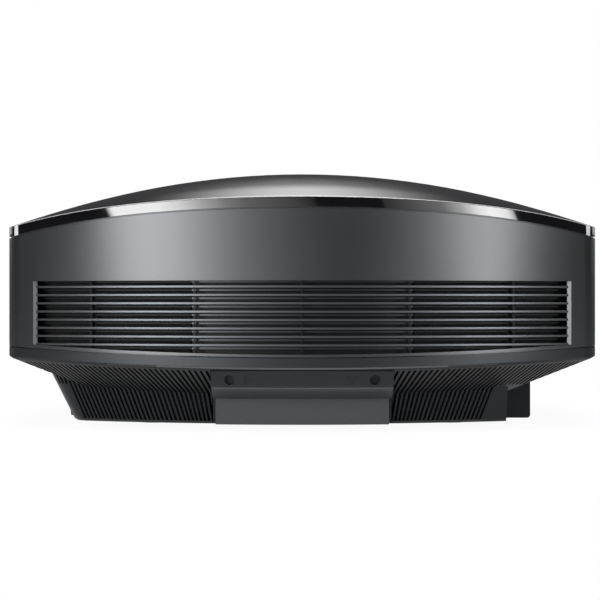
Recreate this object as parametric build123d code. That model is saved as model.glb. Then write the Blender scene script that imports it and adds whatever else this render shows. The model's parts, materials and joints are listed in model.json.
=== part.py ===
"""Home cinema projector: a domed casing with a wide louvred back, a ribbed lower case,
a centre lens on a shift mechanism, and the lamp, fans and boards that it needs inside.

Frame: +Z up, the lens looks along -Y, the louvred back faces +Y, the connectors face -X.
The origin is on the table under the middle of the casing. Lengths are in millimetres.
"""
from build123d import *
import math
import os

os.makedirs("parts", exist_ok=True)

# Overall size
WIDTH = 407.4
DEPTH = 463.9
HEIGHT = 179.2
FOOT_STANDOFF = 4.5

# Plan outline and dome of the casing
END_ARC_R = 320.0
SIDE_ARC_R = 2400.0
CORNER_R = 24.0
DOME_ACROSS_R = 555.0
DOME_ALONG_R = 1068.0
DOME_END_R = 790.0
DOME_SECTIONS = 7
DOME_OVERHANG = 12.0
DOME_REACH = 230.0
DOME_FLOOR_Z = -40.0

# Casing walls and seams
WALL = 2.6
TOP_WALL = 2.4
BAND_HEIGHT = 6.8
BAND_THICKNESS = 3.0
BAND_LEDGE = 5.0
BAND_LEDGE_THICKNESS = 1.6
BAND_EDGE_R = 0.9
SEAM_GAP = 0.9
SEAM_DEPTH = 1.2
SLIDE_FIT = 0.15
PANEL_SPLIT_Y = -95.0

# Seam between the upper panels and the lower case
PARTING_Z = 49.3
PARTING_ARC_R = 3200.0
PARTING_GAP = 0.5

# Lower case
SKIRT_HEIGHT = 7.3
SKIRT_BEVEL = 1.2
SKIRT_BEVEL_SLOPE = 58.0
SHOULDER_SLOPE = 31.0
SHOULDER_TILT = 5.5
SIDE_SHOULDER_SLOPE = 22.0
SIDE_SKIRT_Z = 51.5
TUB_INSET = 47.0
TUB_SIDE_INSET = 44.0
TUB_DRAFT = 26.0
TUB_BEVEL = 1.5
TUB_TOP_Z = 42.0
TUB_CORNER_R = 18.0
FLOOR = 2.6
BAY_X = -160.0
BAY_REAR_Y = 100.0
BAY_FRONT_Y = -78.0
BAY_STEP_X = -139.0
BAY_EDGE_R = 2.2

# Ribs of the lower case, on planes that meet at the centre of the end arc
RIB_PITCH_DEG = 0.67
RIB_SLOT = 1.7
RIB_FIRST_X = 63.0
RIB_LAST_DEG = 36.5
RIB_MARGIN = 3.5
RIB_REACH = 4.0
RIB_LOW_Z = 6.2
RIB_SHOULDER_Z = 30.0
RIB_LEAN_DEG = 9.0
RIB_LEAN_STEP = 1.0
RIB_WALL_LAST_DEG = 34.0
RIB_BAY_LAST_DEG = 27.0

# Lamp cover in the middle of the lower back
COVER_HALF = 59.5
COVER_GAP = 0.4
COVER_TOP_Z = 41.0
COVER_FRONT_Y = 176.0
COVER_PLATE_INSET = 36.0
COVER_PLATE_HALF = 57.5
COVER_PLATE_TOP_Z = 21.8
COVER_LIP_INSET = 1.5
COVER_RIDGE_INSET = 12.0
COVER_RIDGE_Z = 29.3
COVER_WALL = 2.0
COVER_SCREW_X = 47.2
COVER_SCREW_Z = 35.0
COVER_HEAD_R = 3.0
COVER_HEAD_T = 2.4
COVER_SLOT_SHARE = 0.75
COVER_SHANK_R = 1.9
COVER_SEAT_Y = 211.0
COVER_BOSS_R = 4.6
COVER_BOSS_LENGTH = 10.0
COVER_HOLE_FIT = 0.25

# Feet, bosses and the threaded inserts for a ceiling plate
FOOT_X = 105.0
FRONT_FOOT_Y = -120.0
REAR_FOOT_Y = 70.0
FOOT_WHEEL_R = 13.0
FOOT_WHEEL_T = 6.0
FOOT_WHEEL_NOTCHES = 24
FOOT_STUD_R = 3.9
FOOT_STUD_LENGTH = 24.0
FOOT_PAD_R = 11.5
FOOT_PAD_T = 1.8
FOOT_SPIGOT_R = 3.0
FOOT_SPIGOT_LENGTH = 3.0
FOOT_POCKET_R = 15.5
FOOT_BUSH_R = 7.0
FOOT_BUSH_LENGTH = 10.0
REAR_FOOT_R = 11.0
REAR_FOOT_RECESS = 1.2
RUN_FIT = 0.05
INSERT_SPACING_X = 150.0
INSERT_SPACING_Y = 170.0
INSERT_CENTRE_Y = -25.0
INSERT_R = 4.0
INSERT_HOLE_R = 2.1
INSERT_LENGTH = 9.0
BOSS_R = 6.5
PLATE_Z = 17.0
PLATE_THICKNESS = 1.5
PLATE_HALF_X = 122.0
PLATE_INSET = 64.5
PLATE_CORNER_R = 6.0
PLATE_BOSSES = ((115.5, -20.0), (58.0, 148.0), (60.0, -140.0))
TAB_Y = 160.0
TAB_WIDTH = 16.0
TAB_HEIGHT = 26.0
CASE_SCREW_R = 1.6
CASE_SCREW_HEAD_R = 3.2
CASE_SCREW_HEAD_T = 2.0

# Back grille
GRILLE_HALF = 177.2
GRILLE_TOP_Z = 99.6
GRILLE_END_Z = 57.2
GRILLE_MID_Z = 51.6
GRILLE_BEVEL = 2.7
BEVEL_START = 1.0
SLAT_COUNT = 8
SLAT_PITCH = 5.44
SLAT_FIRST_Z = 95.7
SLAT_HEIGHT = 1.4
SLAT_DEPTH = 6.0
SLAT_SETBACK = 1.6
GRILLE_FLANGE = 5.0
GRILLE_FLANGE_T = 2.0
STAY_PITCH = 70.0
STAY_THICKNESS = 0.9
STAY_DEPTH = 2.0
POST_WIDTH = 2.5
GRILLE_FLANGE_LOW = 0.6
LOUVRE_GAP = 2.0
LOUVRE_RISE = 3.3
LOUVRE_DEPTH = 5.0
LOUVRE_PLATE_HALF = 72.0
LOUVRE_PLATE_T = 1.5
FILTER_GAP = 1.0
FILTER_THICKNESS = 5.0

# Front: lens opening, vents and sensor window
LENS_Z = 97.0
LENS_OPENING_R = 45.0
VENT_INNER_X = 72.0
VENT_LOW_Z = 55.5
SENSOR_R = 5.0
SENSOR_X = 56.0
SENSOR_Z = 122.0

# Lens bezel and lens, on an axis along Y at the lens height
BEZEL_LIP = 4.0
BEZEL_DEPTH = 28.0
BEZEL_INNER_R = 38.5
BEZEL_WALL = 2.0
BEZEL_FLANGE_R = 47.2
BARREL_R = 24.0
BARREL_BORE_R = 21.5
BARREL_STOP_R = 19.5
BARREL_FRONT_Y = -205.0
BARREL_REAR_Y = -60.0
BARREL_FLANGE_R = 36.0
BARREL_FLANGE_T = 4.0
ELEMENT_SEAT_Y = -190.0
ELEMENT_EDGE_T = 5.0
ELEMENT_BULGE = 5.5
REAR_ELEMENT_T = 5.0
FOCUS_R = 31.0
FOCUS_FRONT_Y = -206.0
FOCUS_LENGTH = 34.0
FOCUS_NOTCH_R = 1.0
RING_NOTCHES = 48
RING_NOTCH_SHARE = 0.7
ZOOM_R = 29.5
ZOOM_FRONT_Y = -150.0
ZOOM_LENGTH = 22.0
ZOOM_LEVER_R = 3.0
ZOOM_LEVER_LENGTH = 11.0
ZOOM_NOTCH_R = 0.5

# Lens shift: an upright bulkhead, a carriage that rises and one that crosses
SHIFT_ROD_R = 2.5
SHIFT_ROD_X = 50.0
SHIFT_ROD_Z = 28.0
BULKHEAD_Y = -46.0
BULKHEAD_T = 4.0
BULKHEAD_HALF = 60.0
BULKHEAD_TOP_Z = 150.0
BULKHEAD_HOLE_R = 32.0
LUG_T = 5.0
LUG_SIZE = 11.0
LUG_LOW_Z = 45.0
LUG_HIGH_Z = 144.0
RISER_BACK_GAP = 1.5
RISER_T = 9.5
RISER_HALF_X = 56.0
RISER_HALF_Z = 34.0
CROSS_GAP = 4.0
CROSS_T = 9.0
CROSS_HALF_X = 40.0
CROSS_HALF_Z = 34.0
CROSS_LUG_X = 48.0

# Lens shift dials in the top
DIAL_R = 18.0
DIAL_T = 7.0
DIAL_PROUD = 3.0
DIAL_X = 32.0
DIAL_Y = -118.0
DIAL_AXLE_R = 2.0
DIAL_NOTCHES = 40
DIAL_NOTCH_R = 0.6
DIAL_EAR_T = 2.5
DIAL_EAR_WIDTH = 10.0
DIAL_EAR_GAP = 1.0
DIAL_SLOT_HALF = 16.0
DIAL_SLOT_SIDE = 1.2

# Fans behind the front vents
FAN_X = 125.0
FAN_Z = 86.0
FAN_SIZE = 80.0
FAN_DEPTH = 25.0
FAN_FRONT_Y = -140.0
FAN_BORE_R = 38.0
FAN_BLADE_R = 36.5
FAN_HUB_R = 16.0
FAN_HUB_LENGTH = 17.0
FAN_BLADES = 7
FAN_BLADE_T = 1.6
FAN_BLADE_WIDTH = 17.0
FAN_BLADE_TWIST = 38.0
FAN_PLATE_T = 2.5
FAN_STRUT = 5.0
FAN_AXIAL_GAP = 1.5
FAN_STAND_X = 103.0
FAN_STAND_WIDTH = 30.0
FAN_STAND_DEPTH = 12.0
FAN_CORNER_R = 5.0

# Light engine and lamp
ENGINE_HALF_X = 58.0
ENGINE_FRONT_Y = -40.0
ENGINE_LENGTH = 104.0
ENGINE_TOP_Z = 132.0
ENGINE_WALL = 3.0
ENGINE_PORT_R = 24.0
PRISM_SIZE = 36.0
PRISM_Y = 6.0
PRISM_POST = 30.0
IMAGER_SIZE = 28.0
IMAGER_T = 7.0
LAMP_Z = 62.0
LAMP_FRONT_Y = 78.0
LAMP_LENGTH = 74.0
LAMP_HALF_X = 44.0
LAMP_TOP_Z = 106.0
LAMP_WALL = 2.5
LAMP_PORT_R = 30.0
REFLECTOR_R = 34.0
REFLECTOR_DEPTH = 44.0
REFLECTOR_NECK_R = 8.0
REFLECTOR_T = 3.0
REFLECTOR_KNEE = 0.6
REFLECTOR_KNEE_R = 0.72
REFLECTOR_NECK_LENGTH = 14.0
REFLECTOR_BURNER_R = 4.0

# Boards and supplies
BALLAST_X = 66.0
BALLAST_WIDTH = 52.0
BALLAST_Y = 22.0
BALLAST_LENGTH = 120.0
BALLAST_HEIGHT = 34.0
BALLAST_FINS = 8
BALLAST_FIN_HEIGHT = 7.0
BALLAST_FIN_T = 2.0
BOARD_T = 1.6
BOARD_LIFT = 5.0
BOARD_POST_R = 3.0
MAIN_BOARD_X = -142.0
MAIN_BOARD_Y = -70.0
MAIN_BOARD_LENGTH = 165.0
MAIN_BOARD_HEIGHT = 92.0
COIL_SIZE = (32.0, 28.0, 24.0)
COIL_AT = (8.0, 14.0)
SINK_SIZE = (6.0, 52.0, 32.0)
SINK_AT = (6.0, 54.0)
CAPACITOR_R = 8.5
CAPACITOR_HEIGHT = 30.0
CAPACITOR_INSET = 18.0
CAPACITOR_ROW = (60.0, 82.0, 104.0)
CHIP_T = 2.4
CHIPS = ((-30.0, 62.0, 26.0), (18.0, 70.0, 20.0), (60.0, 58.0, 16.0), (10.0, 40.0, 12.0))

# Connector panel in the bay
PANEL_T = 1.2
PANEL_LOW_Z = 7.6
PANEL_HEIGHT = 20.0
PANEL_Y0 = -72.0
PANEL_Y1 = 92.0
PANEL_RIM = 3.5
SOCKET_Z = 17.6
SOCKET_PROUD = 0.6
CONTACT_SETBACK = 5.0
INLET_Y = 72.0
INLET_SIZE = (27.0, 19.0)
INLET_MOUTH = (24.0, 16.0)
INLET_DEPTH = 15.0
INLET_PIN_Y = 7.0
INLET_PIN = (2.0, 4.0)
INLET_PIN_Z = 2.0
HDMI_YS = (14.0, -6.0)
HDMI_SIZE = (16.0, 6.6)
HDMI_MOUTH = (14.2, 5.0)
HDMI_DEPTH = 10.0
HDMI_TONGUE = (11.0, 1.4)
LAN_Y = 38.0
LAN_SIZE = (16.0, 14.0)
LAN_MOUTH = (12.0, 9.0)
LAN_DEPTH = 12.0
JACK_YS = (-28.0, -43.0, -58.0)
JACK_BASE = 11.0
JACK_R = 4.2
JACK_HOLE_R = 1.7
JACK_PROUD = 8.5

# Control plate on the side
CONTROL_Y = 20.0
CONTROL_Z = 84.0
CONTROL_LENGTH = 108.0
CONTROL_HEIGHT = 34.0
CONTROL_FACE = 0.7
CONTROL_RIM = 4.0
CONTROL_RIM_T = 1.5
CONTROL_RIM_X = 199.6
KEY_PROUD = 0.5
KEY_FIT = 0.25
KEY_FLANGE = 0.8
KEY_FLANGE_T = 1.2
KEY_TRAVEL_ROOM = 0.2
POWER_KEY_R = 6.5
ENTER_KEY_R = 4.6
SMALL_KEY = (12.0, 7.5)
ARROW_KEY = 7.0
ARROW_STEP = 10.6
POWER_KEY_Y = 42.0
INPUT_KEY_Y = 24.0
MENU_KEY_Y = 7.0
ENTER_KEY_Y = -28.0

# Places worked out from the sizes above
HALF_W = WIDTH / 2
HALF_D = DEPTH / 2
ARC_CENTRE_Y = HALF_D - END_ARC_R
FLOOR_TOP_Z = FOOT_STANDOFF + FLOOR
FAR = 2 * DEPTH


def save(name, shape):
    """Write one sub-part, as its solids alone, to its own STEP file."""
    solids = shape.solids()
    export_step(solids[0] if len(solids) == 1 else Compound(children=list(solids)), f"parts/{name}.step")


def box(x0, x1, y0, y1, z0, z1):
    """A box between two corners."""
    centre = ((x0 + x1) / 2, (y0 + y1) / 2, (z0 + z1) / 2)
    return Pos(*centre) * Box(abs(x1 - x0), abs(y1 - y0), abs(z1 - z0))


def rod(axis, radius, start, length):
    """A cylinder that starts at a point and runs along a direction."""
    return Plane(origin=start, z_dir=axis) * Cylinder(
        radius, length, align=(Align.CENTER, Align.CENTER, Align.MIN)
    )


def tube(axis, outer, inner, start, length):
    """A hollow cylinder."""
    return rod(axis, outer, start, length) - rod(axis, inner, start, length)


def plan(inset, corner=None, side_inset=None):
    """The casing's outline seen from above, moved in by an inset, which may differ at the sides."""
    ends = END_ARC_R - inset
    sides = SIDE_ARC_R - (inset if side_inset is None else side_inset)
    outline = Pos(0, ARC_CENTRE_Y) * Circle(ends)
    outline &= Pos(0, -ARC_CENTRE_Y) * Circle(ends)
    outline &= Pos(SIDE_ARC_R - HALF_W, 0) * Circle(sides)
    outline &= Pos(HALF_W - SIDE_ARC_R, 0) * Circle(sides)
    return fillet(outline.vertices(), (CORNER_R - inset) if corner is None else corner)


def prism(inset, z0, z1, corner=None):
    """The outline as an upright block."""
    return Pos(0, 0, z0) * extrude(plan(inset, corner), z1 - z0)


def dome_crown(y):
    """Height of the dome's ridge along the middle."""
    return HEIGHT - y**2 / (2 * DOME_ALONG_R)


def dome_across_r(y):
    """Radius of the dome's section, which flattens towards the front and back."""
    return 1 / (1 / DOME_ACROSS_R - (1 / DOME_ACROSS_R - 1 / DOME_END_R) * (y / HALF_D) ** 2)


def dome_section(y, drop):
    """One section across the dome, from its floor up to its arc."""
    radius = dome_across_r(y)
    crown = dome_crown(y) - drop
    edge = crown - radius + math.sqrt(radius**2 - DOME_REACH**2)
    sides = Polyline(
        (DOME_REACH, edge),
        (DOME_REACH, DOME_FLOOR_Z),
        (-DOME_REACH, DOME_FLOOR_Z),
        (-DOME_REACH, edge),
    )
    arc = ThreePointArc((-DOME_REACH, edge), (0, crown), (DOME_REACH, edge))
    return Plane(origin=(0, y, 0), x_dir=(1, 0, 0), z_dir=(0, -1, 0)) * make_face(Curve() + [sides, arc])


def dome(drop):
    """Everything under the domed top, lowered by a drop, lofted through sections from front to back."""
    reach = HALF_D + DOME_OVERHANG
    step = 2 * reach / (DOME_SECTIONS - 1)
    return loft([dome_section(-reach + index * step, drop) for index in range(DOME_SECTIONS)])


def dome_z(x, y, drop=0.0):
    """Height of the dome over a point of the plan."""
    radius = dome_across_r(y)
    return dome_crown(y) - drop - radius + math.sqrt(radius**2 - x**2)


def above_parting(lift):
    """Everything over the seam between the upper panels and the lower case, which dips in the middle."""
    return rod((0, 1, 0), PARTING_ARC_R, (0, -DEPTH, PARTING_Z + lift + PARTING_ARC_R), FAR)


def ring(outer, inner, z0, z1):
    """An upright wall that follows the outline."""
    return prism(outer, z0, z1) - prism(inner, z0, z1)


def end_arc(outer, inner, half_width, z0, z1, end=1):
    """A curved wall that follows the back's arc (end 1) or the front's (end -1), between two insets."""
    flat = Pos(0, end * ARC_CENTRE_Y) * (Circle(END_ARC_R - outer) - Circle(END_ARC_R - inner))
    flat &= Pos(0, end * HALF_D) * Rectangle(2 * half_width, DEPTH)
    return Pos(0, 0, z0) * extrude(flat, z1 - z0)


def dome_edges(shape):
    """The edges of a block where the dome meets the outline."""
    middles = [(edge, edge.position_at(0.5)) for edge in shape.edges()]
    return [edge for edge, at in middles if abs(at.Z - dome_z(at.X, at.Y)) < SLIDE_FIT]


# Top cover and gloss band

def make_top_cover():
    """The domed top, a plate that drops into the band."""
    plate = prism(BAND_THICKNESS + SLIDE_FIT, PARTING_Z, HEIGHT) & dome(0)
    plate -= dome(TOP_WALL)
    return plate - dial_slot(-DIAL_X, (1, 0, 0)) - dial_slot(DIAL_X, (0, 1, 0))


def make_rim_band():
    """The gloss band round the top, with the ledge that carries the top cover."""
    block = prism(0, PARTING_Z, HEIGHT) & dome(0)
    block = fillet(dome_edges(block), BAND_EDGE_R)
    band = block - prism(BAND_THICKNESS, PARTING_Z, HEIGHT) - dome(BAND_HEIGHT)
    ledge = ring(BAND_THICKNESS, BAND_THICKNESS + BAND_LEDGE, PARTING_Z, HEIGHT) & dome(TOP_WALL)
    ledge -= dome(TOP_WALL + BAND_LEDGE_THICKNESS)
    return band + ledge


# Upper panels

def make_upper_wall():
    """The wall between the lower case and the band, with a tongue that leaves a groove under the band."""
    wall = ring(0, WALL, PARTING_Z - SKIRT_HEIGHT, HEIGHT) & dome(BAND_HEIGHT + SEAM_GAP)
    tongue = ring(SEAM_DEPTH, WALL, HEIGHT / 2, HEIGHT) & dome(BAND_HEIGHT)
    return (wall & above_parting(PARTING_GAP)) + tongue


def grille_outline(grow):
    """The back opening: straight top and ends, and a lower edge that dips in the middle."""
    half = GRILLE_HALF + grow
    top = GRILLE_TOP_Z + grow
    low_end = GRILLE_END_Z - grow
    low_mid = GRILLE_MID_Z - grow
    edges = [
        Line((-half, low_end), (-half, top)),
        Line((-half, top), (half, top)),
        Line((half, top), (half, low_end)),
        ThreePointArc((half, low_end), (0, low_mid), (-half, low_end)),
    ]
    return make_face(edges)


def opening_block(grow, y0, y1):
    """The back opening as a block between two depths."""
    face_plane = Plane(origin=(0, y1, 0), x_dir=(1, 0, 0), z_dir=(0, -1, 0))
    return extrude(face_plane * grille_outline(grow), y1 - y0)


def arc_y(x, inset=0.0):
    """How far back the end wall is at a place across the plan."""
    return ARC_CENTRE_Y + math.sqrt((END_ARC_R - inset) ** 2 - x**2)


def end_bevel(side):
    """The slanted cut at one end of the back opening."""
    edge = GRILLE_HALF - BEVEL_START
    corners = [
        (side * edge, arc_y(edge, WALL)),
        (side * GRILLE_HALF, arc_y(GRILLE_HALF, WALL)),
        (side * (GRILLE_HALF + GRILLE_BEVEL), arc_y(GRILLE_HALF + GRILLE_BEVEL)),
        (side * (GRILLE_HALF + GRILLE_BEVEL), HALF_D),
        (side * edge, HALF_D),
    ]
    flat = make_face(Polyline(*corners, close=True))
    return Pos(0, 0, GRILLE_END_Z) * extrude(flat, GRILLE_TOP_Z - GRILLE_END_Z)


def control_block(grow):
    """The opening for the control plate in the side wall."""
    half_y = CONTROL_LENGTH / 2 + grow
    half_z = CONTROL_HEIGHT / 2 + grow
    return box(
        -FAR, -HALF_W / 2, CONTROL_Y - half_y, CONTROL_Y + half_y, CONTROL_Z - half_z, CONTROL_Z + half_z
    )


def make_rear_panel(wall):
    """The back and side wall, with the bevelled grille opening and the control opening."""
    panel = wall & box(-FAR, FAR, PANEL_SPLIT_Y + SLIDE_FIT, FAR, 0, FAR)
    panel -= opening_block(0, 0, FAR)
    panel -= end_bevel(1)
    panel -= end_bevel(-1)
    return panel - control_block(SLIDE_FIT)


def make_front_panel(wall):
    """The front wall, with the round lens opening, two vent openings and the sensor window's opening."""
    panel = wall & box(-FAR, FAR, -FAR, PANEL_SPLIT_Y, 0, FAR)
    panel -= rod((0, -1, 0), LENS_OPENING_R, (0, -HALF_D / 2, LENS_Z), HALF_D)
    for side in (1, -1):
        panel -= vent_block(side, 0)
    return panel - rod((0, -1, 0), SENSOR_R + SLIDE_FIT, (SENSOR_X, -HALF_D / 2, SENSOR_Z), HALF_D)


def vent_block(side, grow):
    """A front vent opening as a block."""
    x0 = side * (VENT_INNER_X - grow)
    x1 = side * (GRILLE_HALF + grow)
    return box(x0, x1, -FAR, -HALF_D / 2, VENT_LOW_Z - grow, GRILLE_TOP_Z + grow)


# Louvres: curved slats on upright stays, in a flange that sits behind the wall

def slat_stack(first_z, count, near, depth, height, half_width, end=1):
    """A stack of curved slats that follow an end wall."""
    slats = []
    for index in range(count):
        z = first_z - index * SLAT_PITCH
        slats.append(end_arc(near, near + depth, half_width, z - height / 2, z + height / 2, end))
    return slats


def stays(near, depth, half_width, z0, z1, end=1):
    """Thin upright stays behind the slats, evenly spaced from the middle."""
    wall = end_arc(near, near + depth, half_width, z0, z1, end)
    count = int(half_width // STAY_PITCH)
    found = []
    for index in range(-count, count + 1):
        x = index * STAY_PITCH
        found += (wall & box(x - STAY_THICKNESS / 2, x + STAY_THICKNESS / 2, -FAR, FAR, 0, FAR)).solids()
    return found


def make_rear_grille():
    """The back grille: a flange round the opening, its slats and their stays."""
    near = WALL + SLIDE_FIT
    half = GRILLE_HALF + GRILLE_FLANGE
    low_z = PARTING_Z + PARTING_GAP + GRILLE_FLANGE_LOW
    flange = end_arc(near, near + GRILLE_FLANGE_T, half, low_z, GRILLE_TOP_Z + GRILLE_FLANGE)
    flange -= opening_block(0, 0, FAR)
    slat_near = SLAT_SETBACK
    slats = slat_stack(SLAT_FIRST_Z, SLAT_COUNT, slat_near, SLAT_DEPTH, SLAT_HEIGHT, GRILLE_HALF)
    slats = [slat & (Pos(0, 0, SLIDE_FIT) * opening_block(0, 0, FAR)) for slat in slats]
    posts = end_arc(near, slat_near + SLAT_DEPTH, GRILLE_HALF + POST_WIDTH, low_z, GRILLE_TOP_Z)
    posts -= box(-GRILLE_HALF, GRILLE_HALF, 0, FAR, 0, FAR)
    back = slat_near + SLAT_DEPTH - STAY_DEPTH
    bars = stays(back, STAY_DEPTH, GRILLE_HALF, low_z, GRILLE_TOP_Z + STAY_DEPTH)
    return Part() + [flange, posts, *slats, *bars]


def make_inner_louvre():
    """The second row of slats, set between the first ones, with a closed plate behind its middle."""
    near = SLAT_SETBACK + SLAT_DEPTH + LOUVRE_GAP
    low_z = PARTING_Z + PARTING_GAP + GRILLE_FLANGE_LOW
    first_z = SLAT_FIRST_Z + LOUVRE_RISE
    slats = slat_stack(first_z, SLAT_COUNT + 1, near, LOUVRE_DEPTH, SLAT_HEIGHT, GRILLE_HALF)
    back = near + LOUVRE_DEPTH - STAY_DEPTH
    bars = stays(back, STAY_DEPTH, GRILLE_HALF, low_z, GRILLE_TOP_Z)
    plate_near = near + LOUVRE_DEPTH
    plate_far = plate_near + LOUVRE_PLATE_T
    plate = end_arc(plate_near - STAY_DEPTH / 2, plate_far, LOUVRE_PLATE_HALF, low_z, GRILLE_TOP_Z)
    posts = end_arc(near - LOUVRE_GAP, plate_near, GRILLE_HALF + POST_WIDTH, low_z, GRILLE_TOP_Z)
    posts -= box(-GRILLE_HALF, GRILLE_HALF, 0, FAR, 0, FAR)
    return Part() + [plate, posts, *slats, *bars]


def make_front_vent(side):
    """A front vent insert, made as the back grille is."""
    near = WALL + SLIDE_FIT
    keep = vent_block(side, 0)
    flange = end_arc(near, near + GRILLE_FLANGE_T, FAR, 0, HEIGHT, -1) & vent_block(side, GRILLE_FLANGE)
    flange -= keep
    slats = slat_stack(SLAT_FIRST_Z, SLAT_COUNT, SLAT_SETBACK, SLAT_DEPTH, SLAT_HEIGHT, GRILLE_HALF, -1)
    slats = [slat & vent_block(side, 0) for slat in slats]
    back = SLAT_SETBACK + SLAT_DEPTH - STAY_DEPTH
    bars = stays(back, STAY_DEPTH, GRILLE_HALF, VENT_LOW_Z - STAY_DEPTH, GRILLE_TOP_Z + STAY_DEPTH, -1)
    bars = [bar for bar in bars if side * bar.center().X > VENT_INNER_X]
    posts = end_arc(near, SLAT_SETBACK + SLAT_DEPTH, FAR, VENT_LOW_Z, GRILLE_TOP_Z, -1)
    posts = (posts & vent_block(side, POST_WIDTH)) - keep
    return Part() + [flange, posts, *slats, *bars]


# Lower case: a skirt under the panels, a sloped shoulder and a drafted tub

def shoulder_lift(inset):
    """How much higher the shoulder's inner face is than its outer one."""
    return inset / math.cos(math.radians(SIDE_SHOULDER_SLOPE))


def end_funnel(end, low_z, slope_deg):
    """Everything over the shoulder at one end: a cone on the end arc's centre, tipped to dip mid-way."""
    slope = math.tan(math.radians(slope_deg))
    reach = END_ARC_R + 2 * CORNER_R
    profile = Polyline(
        (0, low_z - END_ARC_R * slope),
        (reach, low_z + (reach - END_ARC_R) * slope),
        (reach, FAR),
        (0, FAR),
        close=True,
    )
    cone = revolve(Plane.XZ * make_face(profile), Axis.Z, 360)
    cone = Pos(0, ARC_CENTRE_Y, 0) * cone
    cone = cone.rotate(Axis((0, HALF_D, low_z), (1, 0, 0)), -SHOULDER_TILT)
    return cone if end > 0 else mirror(cone, Plane.XZ)


def side_slope(side, edge_z, slope_deg):
    """Everything over the shoulder at one side."""
    slope = math.tan(math.radians(slope_deg))
    profile = Polyline(
        (side * FAR, edge_z + (FAR - HALF_W) * slope),
        (-side * FAR, edge_z - (FAR + HALF_W) * slope),
        (-side * FAR, 4 * FAR),
        (side * FAR, 4 * FAR),
        close=True,
    )
    return extrude(Plane.XZ * make_face(profile), FAR, both=True)


def make_bowl(inset):
    """The skirt and shoulder as one solid bowl, with a bevel under the skirt."""
    lift = shoulder_lift(inset)
    low_z = PARTING_Z - SKIRT_HEIGHT + lift
    side_z = SIDE_SKIRT_Z + lift
    bowl = prism(inset, FLOOR_TOP_Z, SIDE_SKIRT_Z + CORNER_R)
    for sign in (1, -1):
        bowl &= end_funnel(sign, low_z, SHOULDER_SLOPE)
        bowl &= side_slope(sign, side_z, SIDE_SHOULDER_SLOPE)
        bowl &= end_funnel(sign, low_z + SKIRT_BEVEL, SKIRT_BEVEL_SLOPE)
        bowl &= side_slope(sign, side_z + SKIRT_BEVEL, SKIRT_BEVEL_SLOPE)
    return bowl


def tub_level(inset, z):
    """The tub's outline at one height."""
    inward = inset - (z - FOOT_STANDOFF) * math.tan(math.radians(TUB_DRAFT))
    return Pos(0, 0, z) * plan(TUB_INSET + inward, TUB_CORNER_R, TUB_SIDE_INSET + inward)


def make_tub(inset):
    """The drafted tub, with its connector bay on one side, and the lower edges broken on the outside."""
    low_z = FOOT_STANDOFF + (FLOOR if inset else 0)
    levels = [tub_level(inset, low_z), tub_level(inset, TUB_TOP_Z)]
    if not inset:
        levels = [tub_level(TUB_BEVEL, low_z), tub_level(0, low_z + TUB_BEVEL), levels[-1]]
    tub = loft(levels, ruled=True)
    tub -= box(-FAR, BAY_STEP_X + inset, BAY_REAR_Y - inset, FAR, 0, FAR)
    tub -= box(-FAR, BAY_X + inset, -FAR, FAR, 0, FAR)
    bay = box(BAY_X + inset, 0, BAY_FRONT_Y + inset, BAY_REAR_Y - inset, low_z, TUB_TOP_Z)
    if not inset:
        low_edges = bay.edges().filter_by(Axis.Y).group_by(Axis.Z)[0]
        bay = fillet(low_edges.sort_by(Axis.X)[0], BAY_EDGE_R)
    return tub + bay


def rib_slots():
    """The slots between the ribs: thin plates on radii of the back's arc, leaning out toward the ends."""
    first = math.degrees(math.asin(RIB_FIRST_X / END_ARC_R))
    count = int((RIB_LAST_DEG - first) / RIB_PITCH_DEG)
    inner_r = END_ARC_R - TUB_INSET - RIB_REACH
    outer_r = END_ARC_R - RIB_MARGIN
    length = outer_r - inner_r
    radius = inner_r + length / 2
    slots = []
    for side, wall_last in ((1, RIB_WALL_LAST_DEG), (-1, RIB_BAY_LAST_DEG)):
        for index in range(count):
            degrees = first + index * RIB_PITCH_DEG
            angle = math.radians(degrees)
            low_z = RIB_LOW_Z if degrees < wall_last else RIB_SHOULDER_Z
            at = (side * radius * math.sin(angle), ARC_CENTRE_Y + radius * math.cos(angle))
            lean = min(RIB_LEAN_DEG, index * RIB_LEAN_STEP)
            middle = (SIDE_SKIRT_Z + low_z) / 2
            plate = Pos(0, 0, middle - RIB_SHOULDER_Z) * Box(RIB_SLOT, length, SIDE_SKIRT_Z - low_z)
            turn = Rot(0, 0, -side * degrees) * Rot(0, side * lean, 0)
            slots.append(Pos(*at, RIB_SHOULDER_Z) * turn * plate)
    return slots


def lower_form(inset):
    """The whole lower case as a solid form, moved in by an inset."""
    return make_bowl(inset) + make_tub(inset)


def cover_region(grow):
    """The space that the lamp cover takes out of the lower case."""
    half = COVER_HALF + grow
    return box(-half, half, COVER_FRONT_Y - grow, FAR, 0, COVER_TOP_Z + grow)


def foot_places():
    """The middles of the front feet, on the table."""
    return [(side * FOOT_X, FRONT_FOOT_Y) for side in (1, -1)]


def insert_places():
    """The middles of the threaded inserts."""
    half_x = INSERT_SPACING_X / 2
    half_y = INSERT_SPACING_Y / 2
    return [(x, INSERT_CENTRE_Y + y) for x in (-half_x, half_x) for y in (-half_y, half_y)]


def plate_boss_places():
    """The bosses that carry the base plate."""
    return [(side * x, y) for side in (1, -1) for x, y in PLATE_BOSSES]


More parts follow.
